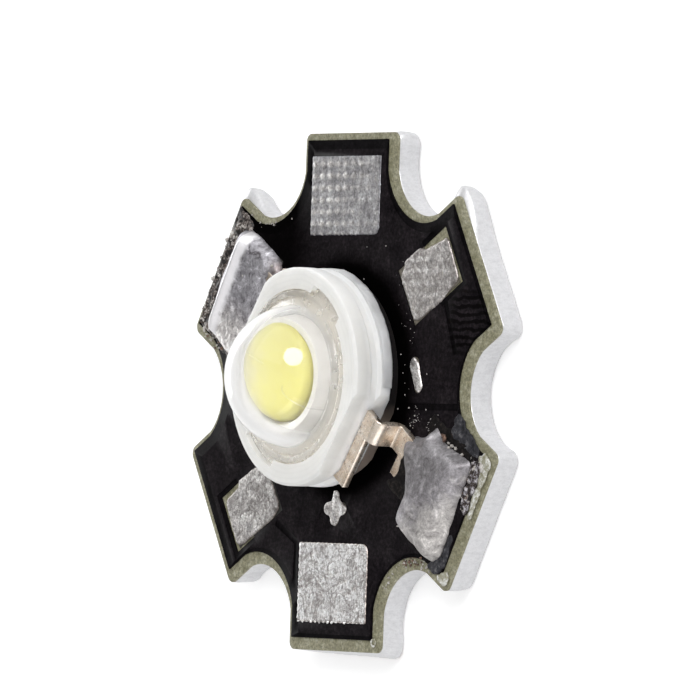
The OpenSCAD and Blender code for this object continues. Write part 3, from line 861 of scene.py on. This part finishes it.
# ---- aluminium base with sheared walls ----
def star_row(inset, corner):
    """One row of points along the edge of the star, always with the same number of points."""
    end, half = LOBE_END - inset, LOBE_HALF - inset
    r = max(corner - inset, 0.05)
    notch = around((0, 0), NOTCH_AT, math.radians(30))
    notch_r = NOTCH_R + inset
    root = notch[0] + math.sqrt(notch_r**2 - (notch[1] - half) ** 2)
    first = math.atan2(half - notch[1], root - notch[0])
    last = math.radians(-300) - first
    corner_turns = np.linspace(0, math.pi / 2, 10)[1:]
    lobe = [(root, -half), (end - r, -half)]
    lobe += [around((end - r, r - half), r, t - math.pi / 2) for t in corner_turns]
    lobe += [(end, y) for y in np.linspace(-half + r, half - r, 50)[1:]]
    lobe += [around((end - r, half - r), r, t) for t in corner_turns]
    lobe.append((root, half))
    lobe += [around(notch, notch_r, t) for t in np.linspace(first, last, 48)[1:-1]]
    row = []
    for k in range(6):
        a = math.radians(60 * k + 30)
        turn = np.array([[math.cos(a), math.sin(a)], [-math.sin(a), math.cos(a)]])
        row += [np.array(p) @ turn for p in lobe]
    return np.array(row)


# Rows of the sheared wall, from the back up: (height, inset, corner radius)
WALL_ROWS = [
    (0.0, 0.16, 0.5), (0.008, 0.11, 0.5), (0.03, 0.07, 0.5), (0.065, 0.035, 0.48), (0.11, 0.012, 0.46),
    (0.17, 0.0, 0.43), (0.28, 0.0, 0.4), (0.4, 0.0, 0.37), (0.52, 0.0, 0.34), (0.64, 0.0, 0.32),
    (0.72, 0.0, 0.3), (0.78, 0.0, 0.3), (0.84, 0.0, 0.3), (0.9, 0.0, 0.3), (0.96, 0.0, 0.3),
    (BASE_T, 0.012, 0.3),
]
# The shear pushed the metal out at some corners of the lobes: (place, push, reach)
SWELLS = [
    ((-6.85, 7.0), (-0.02, 0.38), 0.8),
    ((-6.2, 6.9), (0.08, 0.16), 0.8),
    ((6.6, 7.1), (-0.06, 0.38), 0.9),
    ((7.3, 6.6), (0.08, 0.14), 0.8),
    ((2.8, 9.4), (0.05, 0.05), 0.6),
]
# The end wall of the lobe at -Y leans out towards the back: where it starts, and how far at its two ends
LEAN_FROM, LEAN_LEFT, LEAN_RIGHT = -8.8, 0.09, 0.24


def make_base():
    side = outward(star_row(0.0, CORNER_R))
    verts = []
    for z, inset, corner in WALL_ROWS:
        below = BASE_T - z
        swell = min(1, below / 0.16) * (0.25 + 0.75 * min(1, z / 0.45)) ** 0.7
        for p, n in zip(star_row(inset, corner), side):
            grain = noise.fractal(Vector((p[0] * 2.2, p[1] * 2.2, z * 1.1)), 0.7, 2.0, 4)
            p = p + n * 0.016 * grain * min(1, below / 0.15)
            for place, push, reach in SWELLS:
                p = p + np.array(push) * swell * hill(math.hypot(p[0] - place[0], p[1] - place[1]), reach)
            if p[1] < LEAN_FROM:
                across = min(max((p[0] + 2.9) / 5.8, 0), 1)
                lean = LEAN_LEFT + (LEAN_RIGHT - LEAN_LEFT) * across
                p = p - np.array([0, lean * below / BASE_T * min(1, (LEAN_FROM - p[1]) / 0.4)])
            verts.append((p[0], p[1], z))
    count = len(side)
    faces = sleeve(len(WALL_ROWS), count)
    faces += [tuple(range(count - 1, -1, -1)), tuple(range(len(verts) - count, len(verts)))]
    obj = new_piece("sheared_base", verts, faces, ALUMINIUM)
    for poly in obj.data.polygons:
        poly.use_smooth = len(poly.vertices) < 10
    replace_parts(obj, "base_plate")


make_base()


# ---- tinned pads and marks ----
TIN_BASE = 1.145
WIDE_PAD_HALF = (2.15, 1.45)
MARK_TIN = tin("mark_tin", 1.15, 1.19, 1.4)


def dots(x, y, d, seed):
    """Height of tin in rows of small domes, stronger towards -X."""
    col = (x + 0.19) / 0.48 + 0.12 * field(x, y, 0.8, 2, seed)
    row = y / 0.44 + 0.05 * field(x, y, 0.7, 2, seed + 5)
    spot = np.clip(np.cos(2 * math.pi * col) * 0.35 + np.cos(2 * math.pi * row) * 0.65, 0, 1)
    strong = np.clip(0.8 - 0.3 * (x - x.mean()) + 0.5 * field(x, y, 0.6, 2, seed + 1), 0.15, 1)
    film = 0.036 + 0.01 * dome_share(d, 0.12) + 0.006 * field(x, y, 4.5, 4, seed + 2)
    return film + 0.02 * spot * strong


def swirls(x, y, d, seed):
    """Height of tin with wrinkles: deep wide ones and shallow fine ones."""
    veins = np.abs(field(x, y, 1.3, 4, seed, 0.8))
    fine = np.abs(field(x, y, 4.0, 3, seed + 1))
    film = 0.048 + 0.01 * dome_share(d, 0.12) + 0.006 * field(x, y, 3.2, 3, seed + 2)
    return film - 0.016 * np.exp(-veins / 0.03) - 0.008 * np.exp(-fine / 0.06)


def bead(x, y, d, seed):
    """Height of the tin on a small mark."""
    return 0.03 + 0.03 * dome_share(d, 0.14) + 0.012 * field(x, y, 5, 3, seed)


def tinned(node, line, step, height, seed, mat):
    stand_in(node, "_film", line, step, TIN_BASE, lambda x, y, d: height(x, y, d, seed), mat, "tin")


def wide_pad(node, centre, bite, round_corner, height, seed, mat):
    """A pad with straight sides, one corner of which is pulled in."""
    x, y = WIDE_PAD_HALF
    line = even(np.array([(-x, -y), (x, -y), (x, y), (-x, y)]) + centre, 0.035)
    corner = np.array(round_corner)
    near = np.hypot(*(line - centre - corner * (x, y)).T)
    line = line - np.where(near < bite, (bite - near) * 0.3, 0)[:, None] * corner
    tinned(node, fray(line, 0.008, seed, 0.03, 0.26), 0.05, height, seed, mat)


def narrow_pad(node, points, height, seed, mat):
    tinned(node, fray(rounded(points, 0.16, 0.035), 0.022, seed, 0.018, 0.22), 0.05, height, seed, mat)


def mark(node, points, seed):
    tinned(node, fray(rounded(points, 0.1, 0.02), 0.015, seed, 0.008, 0.17), 0.03, bead, seed, MARK_TIN)


wide_pad("tin_pad_top", (-0.19, 7.2), 0.25, (1, -1), dots, 1,
         tin("pad_tin_dotted", 1.186, 1.206, 1.12, (0.42, 0.43, 0.47), 0.15))
wide_pad("tin_pad_bottom", (-0.19, -7.0), 0.3, (1, 1), swirls, 2,
         tin("pad_tin_bright", 1.178, 1.204, 1.78, (0.46, 0.4, 0.37), 0.7))
narrow_pad(
    "tin_pad_upper_right",
    [(6.19, 5.62), (5.53, 5.41), (4.84, 5.18), (4.52, 5.28), (3.61, 4.74), (3.66, 4.56), (3.4, 4.23),
     (4.32, 2.63), (4.6, 2.65), (5.13, 2.93), (5.82, 3.21), (6.34, 3.68), (6.94, 4.14), (6.89, 4.32),
     (6.4, 5.29)],
    dots, 3, tin("pad_tin_right", 1.176, 1.204, 1.18, (0.5, 0.47, 0.46), 0.45),
)
narrow_pad(
    "tin_pad_lower_left",
    [(-5.5, -2.92), (-6.44, -3.4), (-6.33, -3.59), (-7.05, -4.03), (-7.14, -4.23), (-6.41, -5.65),
     (-6.2, -5.74), (-6.0, -5.72), (-5.02, -5.2), (-4.11, -4.72), (-3.77, -4.32), (-3.82, -4.09),
     (-4.26, -3.37), (-4.6, -2.65)],
    swirls, 4, tin("pad_tin_left", 1.176, 1.204, 1.12, (0.42, 0.38, 0.36), 0.65),
)
mark(
    "plus_mark",
    [(-0.15, -3.6), (-0.29, -3.64), (-0.4, -4.0), (-0.63, -4.04), (-0.83, -4.12), (-0.88, -4.33),
     (-0.78, -4.5), (-0.48, -4.55), (-0.43, -4.85), (-0.17, -4.94), (0.1, -4.69), (0.16, -4.55),
     (0.37, -4.49), (0.53, -4.32), (0.44, -4.17), (0.3, -4.12), (0.09, -3.92), (0.03, -3.66)],
    5,
)
mark(
    "minus_mark",
    [(4.4, 1.32), (4.21, 1.16), (4.18, 0.96), (4.33, 0.63), (4.44, 0.32), (4.59, 0.08), (4.73, 0.0),
     (4.87, 0.08), (5.0, 0.21), (4.88, 0.54), (4.78, 0.76), (4.74, 1.01), (4.54, 1.21)],
    6,
)


# ---- solder joints ----
JOINT_FOOT = BOARD_TOP - 0.03


def make_right_joint():
    """A lump with a hollow in its middle and a raised lip on its lower left."""
    outline = [(4.38, -1.58), (5.1, -1.58), (5.6, -1.56), (5.8, -1.42), (5.96, -1.13), (6.2, -1.44),
               (6.43, -1.72), (7.24, -2.07), (8.08, -2.45), (8.14, -2.74), (7.42, -3.93), (6.8, -5.31),
               (6.48, -5.92), (5.95, -6.16), (5.24, -5.66), (4.27, -4.9), (4.05, -4.6), (4.28, -4.14),
               (4.66, -3.56), (4.5, -2.91), (4.36, -2.26)]
    line = fray(rounded(outline, 0.16, 0.05), 0.04, 11)
    mat = solder("right_solder", (6.8, -2.6), (7.65, -4.25),
                 [(0.31, 0.3, 0.31), (0.36, 0.345, 0.36), (0.53, 0.51, 0.495)], 0.7, 0.5)

    def height(x, y, d):
        lip = 0.16 * hill(d - 0.16, 0.1) * (x < 5.2) * (y < -3.2)
        return 0.03 + 0.74 * dome_share(d, 0.85) + lip - 0.12 * hill(np.hypot(x - 5.8, y + 2.6), 1.1)

    def detail(x, y, d):
        return (0.02 * field(x, y, 1.1, 3, 12) + 0.006 * field(x, y, 5, 3, 13)) * slope(d, 0.2)

    stand_in("solder_joint_right", "_mound", line, 0.055, JOINT_FOOT, height, mat, "solder", 14, detail)


def make_left_joint():
    """A flat lump with bubbles, and with a smooth crest along its outer side."""
    outline = [(-6.58, 5.92), (-6.28, 5.98), (-5.8, 5.86), (-5.23, 5.56), (-4.57, 5.15), (-4.09, 4.69),
               (-3.95, 4.3), (-4.05, 3.9), (-4.6, 3.0), (-5.3, 1.75), (-6.15, 1.06), (-6.8, 1.15),
               (-7.36, 1.42), (-7.92, 1.98), (-8.38, 2.52), (-7.68, 4.18)]
    line = fray(rounded(outline, 0.2, 0.05), 0.03, 21)
    # A painted highlight along the outer crest, painted shade beyond it, and a spot of painted shade in the
    # corner beside the emitter body
    mat = solder("left_solder", (-6.7, 3.6), (-7.1, 2.5),
                 [(0.5, 0.49, 0.52), (0.6, 0.58, 0.6), (0.88, 0.85, 0.83)], 0.95, 0.38,
                 highlight_band=(150, 7.7, 8.08), shade_spot=(-3.95, 4.45, 0.75))
    away = (math.cos(math.radians(150)), math.sin(math.radians(150)))

    def height(x, y, d):
        u = x * away[0] + y * away[1]
        tall = 0.49 * dome_share(d, 0.72) * np.clip(1.0 - 0.08 * (8.0 - u), 0.6, 1.0)
        return 0.03 + tall + 0.23 * hill(u - 7.95, 0.19) * slope(d, 0.2)

    def detail(x, y, d):
        u = x * away[0] + y * away[1]
        bubbles = np.clip(field(x, y, 3.2, 2, 22), 0.15, 1) - 0.15
        grain = 0.024 * field(x, y, 0.9, 3, 23) + 0.008 * field(x, y, 5, 3, 24) - 0.06 * bubbles
        return grain * slope(d, 0.2) * (0.15 + 0.85 * (u < 7.6))

    stand_in("solder_joint_left", "_mound", line, 0.05, JOINT_FOOT, height, mat, "solder", 4, detail)


make_right_joint()
make_left_joint()


# ---- dried flux ----
DARK_FLUX = flux(
    "dark_flux", [(0.46, (0.01, 0.008, 0.008)), (0.54, (0.09, 0.07, 0.06)), (0.62, (0.5, 0.47, 0.44))], 3.2)
BLACK_FLUX = flux(
    "black_flux", [(0.5, (0.006, 0.005, 0.005)), (0.66, (0.03, 0.024, 0.022)), (0.74, (0.22, 0.19, 0.17))],
    5, spec=0.1)
BARE_FLUX = flux(
    "bare_flux", [(0.36, (0.01, 0.01, 0.012)), (0.55, (0.045, 0.045, 0.052)), (0.72, (0.17, 0.165, 0.17))],
    3, spec=0.15)
MIXED_FLUX = flux(
    "mixed_flux", [(0.42, (0.01, 0.008, 0.008)), (0.48, (0.06, 0.04, 0.03)), (0.53, (0.16, 0.15, 0.17)),
                   (0.62, (0.6, 0.58, 0.6))], 5)
PALE_FILM = flux(
    "pale_film", [(0.38, (0.24, 0.23, 0.15)), (0.5, (0.38, 0.37, 0.3)), (0.6, (0.7, 0.7, 0.67))], 4.5)
PALE_CRUST = flux(
    "pale_crust", [(0.35, (0.2, 0.18, 0.16)), (0.5, (0.46, 0.43, 0.4)), (0.7, (0.74, 0.72, 0.7))], 6)
BROWN_CRUST = flux("brown_crust", [(0.35, (0.05, 0.03, 0.025)), (0.6, (0.22, 0.13, 0.09))], 6)
SPECK = flux("speck", [(0.35, (0.3, 0.28, 0.27)), (0.6, (0.62, 0.6, 0.58))], 9)

BOARD_EDGE = star_row(0.07, 0.4)
FILM_FOOT = BOARD_TOP - 0.015


def film(name, thickness, mat, seed, points):
    """A thin uneven skin of dried flux. What would hang over the board's edge is drawn in."""
    line = fray(rounded(points, 0.15, 0.05), 0.1, seed)
    for _ in range(12):
        line = np.where(inside(line, BOARD_EDGE)[:, None], line, line * 0.995)

    def height(x, y, d):
        uneven = np.clip(0.5 + 0.9 * field(x, y, 2.6, 4, seed), 0.05, 1.2)
        return 0.022 + thickness * uneven * dome_share(d, 0.2)

    mound(name, line, 0.06, FILM_FOOT, height, mat)


def flux_over_foot(seed=37):
    """Burnt flux that runs up over the near side of the lead's foot."""
    points = [(3.42, -3.16), (3.92, -3.04), (4.2, -2.88), (4.3, -2.35), (4.55, -2.2), (5.0, -2.4),
              (5.0, -3.7), (4.5, -3.95), (4.05, -3.75), (3.58, -3.42)]

    def height(x, y, d):
        return 0.16 + 0.3 * dome_share(d, 0.12) + 0.03 * field(x, y, 2.5, 4, seed)

    line = fray(rounded(points, 0.12, 0.05), 0.06, seed)
    mound("flux_over_foot", line, 0.06, FILM_FOOT, height, BLACK_FLUX)


film("flux_beside_left_joint", 0.09, DARK_FLUX, 31, [
    (-6.95, 6.9), (-6.45, 6.58), (-6.0, 6.22), (-6.05, 5.8), (-6.7, 5.4), (-7.3, 4.3), (-7.9, 2.7),
    (-7.3, 1.9), (-6.75, 1.35), (-7.25, 1.08), (-8.17, 1.83), (-8.99, 2.31), (-9.28, 2.57), (-8.9, 3.43),
    (-8.29, 4.55), (-7.71, 5.68)])
film("flux_above_right_joint", 0.06, BARE_FLUX, 32, [
    (7.34, -0.7), (7.77, -1.25), (8.19, -1.67), (8.61, -2.06), (8.5, -2.37), (8.03, -2.25),
    (7.21, -1.76), (6.76, -1.42), (6.96, -0.9)])
film("flux_on_bare_foil", 0.03, BLACK_FLUX, 38, [
    (5.4, -1.3), (5.74, -0.7), (6.9, -1.33), (7.6, -1.75), (8.2, -2.2), (8.4, -2.75), (7.9, -2.75),
    (6.8, -2.3), (6.0, -1.8)])
film("flux_right_of_right_joint", 0.08, MIXED_FLUX, 33, [
    (8.2, -2.36), (8.72, -2.5), (8.78, -2.8), (8.5, -3.25), (8.22, -3.75), (7.98, -4.2), (7.72, -4.4),
    (7.5, -4.1), (7.72, -3.5), (7.95, -3.0)])
film("flux_on_olive_corner", 0.04, PALE_FILM, 34, [
    (8.55, -2.2), (8.95, -2.1), (9.3, -2.45), (9.1, -2.9), (8.8, -3.4), (8.45, -3.95), (8.15, -4.55),
    (7.98, -4.4), (8.3, -3.7), (8.62, -3.0)])
film("flux_below_right_joint", 0.06, BARE_FLUX, 35, [
    (6.95, -5.1), (7.15, -5.2), (6.9, -5.95), (6.55, -6.45), (6.1, -6.55), (5.55, -6.25), (5.9, -6.05),
    (6.4, -5.95)])
film("flux_on_olive_tip", 0.04, PALE_FILM, 36, [
    (6.2, -6.52), (6.55, -6.55), (6.92, -6.35), (6.95, -6.72), (6.76, -6.98), (6.5, -6.92), (6.28, -6.74)])
flux_over_foot()


# ---- flakes, lumps and specks ----
def along(path, count, spread, small, large, z, seed):
    """Scattered places for lumps beside a path of (x, y) points, with radii from small to large."""
    chance = np.random.RandomState(seed)
    path = np.array(path)
    places = []
    for _ in range(count):
        t = chance.rand() * (len(path) - 1)
        k = min(int(t), len(path) - 2)
        spot = path[k] + (path[k + 1] - path[k]) * (t - k) + chance.normal(0, spread, 2)
        r = small + (large - small) * chance.rand() ** 2
        places.append((spot[0], spot[1], z + 0.2 * r, r))
    on_board = inside(np.array(places)[:, :2], BOARD_EDGE)
    return [place for place, held in zip(places, on_board) if held]


# Paths that flakes lie along
LEFT_EDGE = [(-6.75, 6.45), (-7.45, 5.5), (-8.15, 4.4), (-8.7, 3.4), (-9.1, 2.6), (-8.5, 2.1), (-7.6, 1.3)]
RIGHT_EDGE = [(8.35, -2.62), (8.1, -3.0), (7.95, -3.4), (7.85, -3.8), (7.7, -4.2)]
NOTCH_RIM = [(2.9688, -7.187), (3.3661, -6.5591), (3.965, -6.2183), (4.6345, -6.0582), (5.2555, -6.153),
             (5.7629, -6.4309)]
TOP_RIM = [(-6.5982, 6.5604), (-5.9363, 6.2964), (-5.1543, 6.144), (-4.3906, 6.2513), (-3.6406, 6.5432)]
LEFT_STREAK = [(4.31, -1.28), (4.48, -0.98), (4.66, -0.91), (4.91, -0.98)]
RIGHT_STREAK = [(5.42, -1.3), (5.53, -1.12), (5.77, -1.01), (5.97, -1.12)]

crumbs("left_pale_flakes", along(LEFT_EDGE, 60, 0.13, 0.03, 0.1, BOARD_TOP + 0.02, 41), PALE_CRUST, 1)
crumbs("left_brown_flakes", along(LEFT_EDGE, 26, 0.12, 0.03, 0.09, BOARD_TOP + 0.02, 42), BROWN_CRUST, 2)
crumbs("right_pale_flakes", along(RIGHT_EDGE, 34, 0.12, 0.03, 0.09, BOARD_TOP, 43), PALE_CRUST, 3)
crumbs("right_brown_flakes", along(RIGHT_EDGE, 16, 0.12, 0.03, 0.08, BOARD_TOP, 44), BROWN_CRUST, 4)
crumbs("lumps_on_spike", [(6.55, -1.55, 1.28, 0.11), (6.64, -1.66, 1.32, 0.09), (6.47, -1.49, 1.3, 0.07)],
       BROWN_CRUST, 5)
crumbs(
    "cream_lumps",
    [(7.02, -1.9, 1.24, 0.1), (7.24, -1.99, 1.24, 0.08), (6.83, -1.8, 1.26, 0.07), (7.62, -2.2, 1.22, 0.08),
     (6.9, -1.96, 1.3, 0.07), (8.79, -2.63, 1.16, 0.15), (8.62, -2.55, 1.17, 0.09),
     (4.08, -4.77, 1.3, 0.09), (3.94, -4.55, 1.26, 0.08), (3.86, -4.85, 1.24, 0.07),
     (4.22, -4.98, 1.28, 0.06), (4.3, -4.33, 1.34, 0.06), (-5.96, 4.24, 1.6, 0.06), (-4.3, 4.6, 1.46, 0.07),
     (-4.52, 4.72, 1.48, 0.05), (-4.16, 4.42, 1.44, 0.05)],
    PALE_CRUST, 6,
)
crumbs("flux_streaks", along(LEFT_STREAK, 20, 0.1, 0.012, 0.032, 1.175, 47)
       + along(RIGHT_STREAK, 16, 0.09, 0.012, 0.032, 1.175, 48), SPECK, 7)
crumbs("rim_pale_grains", along(NOTCH_RIM, 46, 0.1, 0.02, 0.07, 1.12, 61), PALE_CRUST, 10)
crumbs("rim_brown_grains", along(NOTCH_RIM[2:5], 24, 0.12, 0.03, 0.09, 1.12, 62), BROWN_CRUST, 11)
crumbs("rim_grains_upper_left", along(TOP_RIM, 30, 0.1, 0.02, 0.06, 1.12, 63), PALE_CRUST, 12)
crumbs("pad_edge_glints", [(-2.22 + 0.262 * i, -8.45, 1.186, 0.055) for i in range(16)],
       tin("edge_tin", 1.15, 1.18, 1.5, vein=0.0), 13)


def make_blister(centre=(2.45, -9.13), z=1.135, long=28, short=8):
    """Small ring of dried flux on the olive rim."""
    verts = []
    for a in turned(long):
        for b in turned(short):
            r = 0.13 + (0.035 + 0.01 * math.sin(3 * a)) * math.cos(b)
            verts.append((*around(centre, r, a), z + 0.03 * math.sin(b)))
    new_piece("flux_blister", verts, sleeve(long, short, closed=True), PALE_FILM)


make_blister()
SPECKS = [(1.26, 5.31), (1.14, 4.13), (1.8, 3.4), (3.37, 3.19), (2.44, 5.34), (2.86, 2.42), (3.87, 1.01),
          (3.76, 0.72), (3.91, 0.35), (4.17, 0.14), (3.93, -0.08), (3.6, 1.39), (5.24, 0.69), (3.53, -0.59),
          (4.21, -0.55), (4.7, -0.56), (5.26, -0.61), (6.01, -0.79)]
crumbs("specks", [(*place, BOARD_TOP + 0.004, 0.022 + 0.008 * (i % 3)) for i, place in enumerate(SPECKS)],
       SPECK, 8)


def make_dust():
    """Dust on the mask, but not under the emitter or round the minus mark."""
    draw = np.random.RandomState(51).rand
    z = BOARD_TOP + 0.003
    dust = [(3.0 + 1.9 * draw(), 6.0 * draw() - 1.2, z, 0.009 + 0.013 * draw()) for _ in range(70)]
    bare = ((*EMITTER, 4.1), (4.6, 0.6, 0.8))
    dust = [d for d in dust if all(math.hypot(d[0] - x, d[1] - y) > r for x, y, r in bare)]
    crumbs("dust", dust, SPECK, 9)


make_dust()


# ---- phosphor as the dome shows it ----
def make_phosphor():
    """A flat dome on a sunk foot, set aside as the photo shows it through the dome."""
    count, rings = 160, 26
    middle = (EMITTER[0] - 0.15, EMITTER[1] + 0.14)
    edge_z, rise = 3.62, 0.42
    verts = []
    for i in range(rings):
        share = math.cos(math.pi / 2 * i / rings) if i else 1.07
        z = edge_z + rise * math.sqrt(1 - share**2) if i else 3.32
        for a in turned(count):
            r = 1.215 * share * (1 + 0.006 * math.sin(3 * a + 1) + 0.004 * math.sin(7 * a))
            verts.append((*around(middle, r, a), z))
    faces = sleeve(rings, count)
    close_to_point(verts, faces, count, (*middle, edge_z + rise))
    faces.append(tuple(range(count - 1, -1, -1)))
    obj = new_piece("phosphor_bead", verts, faces, phosphor())
    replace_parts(obj, "phosphor")


make_phosphor()


# ---- thin moulding flash on the lower rim of the body ----
def make_flash(steps=260, low=1.8, high=2.24, sunk=0.05):
    """An uneven skin on the round side of the lower tier, from the parting line of the mould."""
    verts = []
    for k in range(steps + 1):
        part = k / steps
        a = math.radians(-5 + 115 * part)
        rough = noise.noise(Vector((a * 6.0, 3.1, 0.7))) + 0.5 * noise.noise(Vector((a * 19.0, 1.3, 4.2)))
        push = math.sin(math.pi * part) ** 0.4 * (0.012 + 0.085 * min(1.0, max(0.0, 0.25 + rough)))
        lift = 0.03 * noise.noise(Vector((a * 9.0, 7.7, 1.9)))
        ring = [(-sunk, low), (0.6 * push, low + 0.02), (push, low + 0.09),
                (0.9 * push, high - 0.12 + lift), (0.45 * push, high - 0.03 + lift), (-sunk, high)]
        verts += [(*around(EMITTER, BODY_R + r, a), z) for r, z in ring]
    size = len(ring)
    ends = [tuple(range(size)), tuple(range(len(verts) - 1, len(verts) - size - 1, -1))]
    new_piece("body_flash", verts, sleeve(steps + 1, size) + ends, WHITE)


make_flash()


# ---- lens and silicone as one clear solid ----
def lens_profile(a):
    """The outline of the flange and the dome at one angle, as (radius, height) from the foot up."""
    soft = 0.04
    ear = max(FLANGE_R, min(EAR_R, EAR_HALF / max(abs(math.cos(a)), 1e-6)))
    sunk, ear_top, top = FLANGE_Z - 0.006, FLANGE_Z + EAR_T, FLANGE_TOP
    profile = [
        (0.02, sunk), (1.5, sunk), (ear, sunk),
        (ear, ear_top - soft), (ear - soft * 0.3, ear_top - soft * 0.3), (ear - soft, ear_top),
        (FLANGE_R - 0.001, ear_top + 0.004), (FLANGE_R, ear_top + 0.03),
        (FLANGE_R, top - soft), (FLANGE_R - soft * 0.3, top - soft * 0.3), (FLANGE_R - soft, top),
        (2.96, top), (2.945, top - 0.02), (2.93, top - 0.1),
        (2.84, top - 0.1), (2.825, top - 0.02), (2.81, top),
    ]
    start = math.asin((top - DOME_Z) / DOME_R)
    steps = 56
    for i in range(steps):
        b = start + (math.pi / 2 - start) * i / steps
        profile.append((DOME_R * math.cos(b) + (0.02 if i == 0 else 0), DOME_Z + DOME_R * math.sin(b)))
    return profile


def make_lens():
    count = 240
    verts = []
    for a in turned(count):
        verts.append([(*around(EMITTER, r, a + EMITTER_TURN), z) for r, z in lens_profile(a)])
    rings = len(verts[0])
    verts = [column[i] for i in range(rings) for column in verts]
    faces = sleeve(rings, count) + [tuple(range(count))]
    close_to_point(verts, faces, count, (*EMITTER, DOME_Z + DOME_R))
    obj = new_piece("clear_lens_and_fill", verts, faces, CLEAR)
    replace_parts(obj, "lens", "silicone_fill")


make_lens()

soften("dielectric_layer", 0.015)
soften("body_moulding", 0.11, segments=3)
soften("lead_right", 0.03)
soften("lead_left", 0.03)
soften("solder_mask", 0.012)
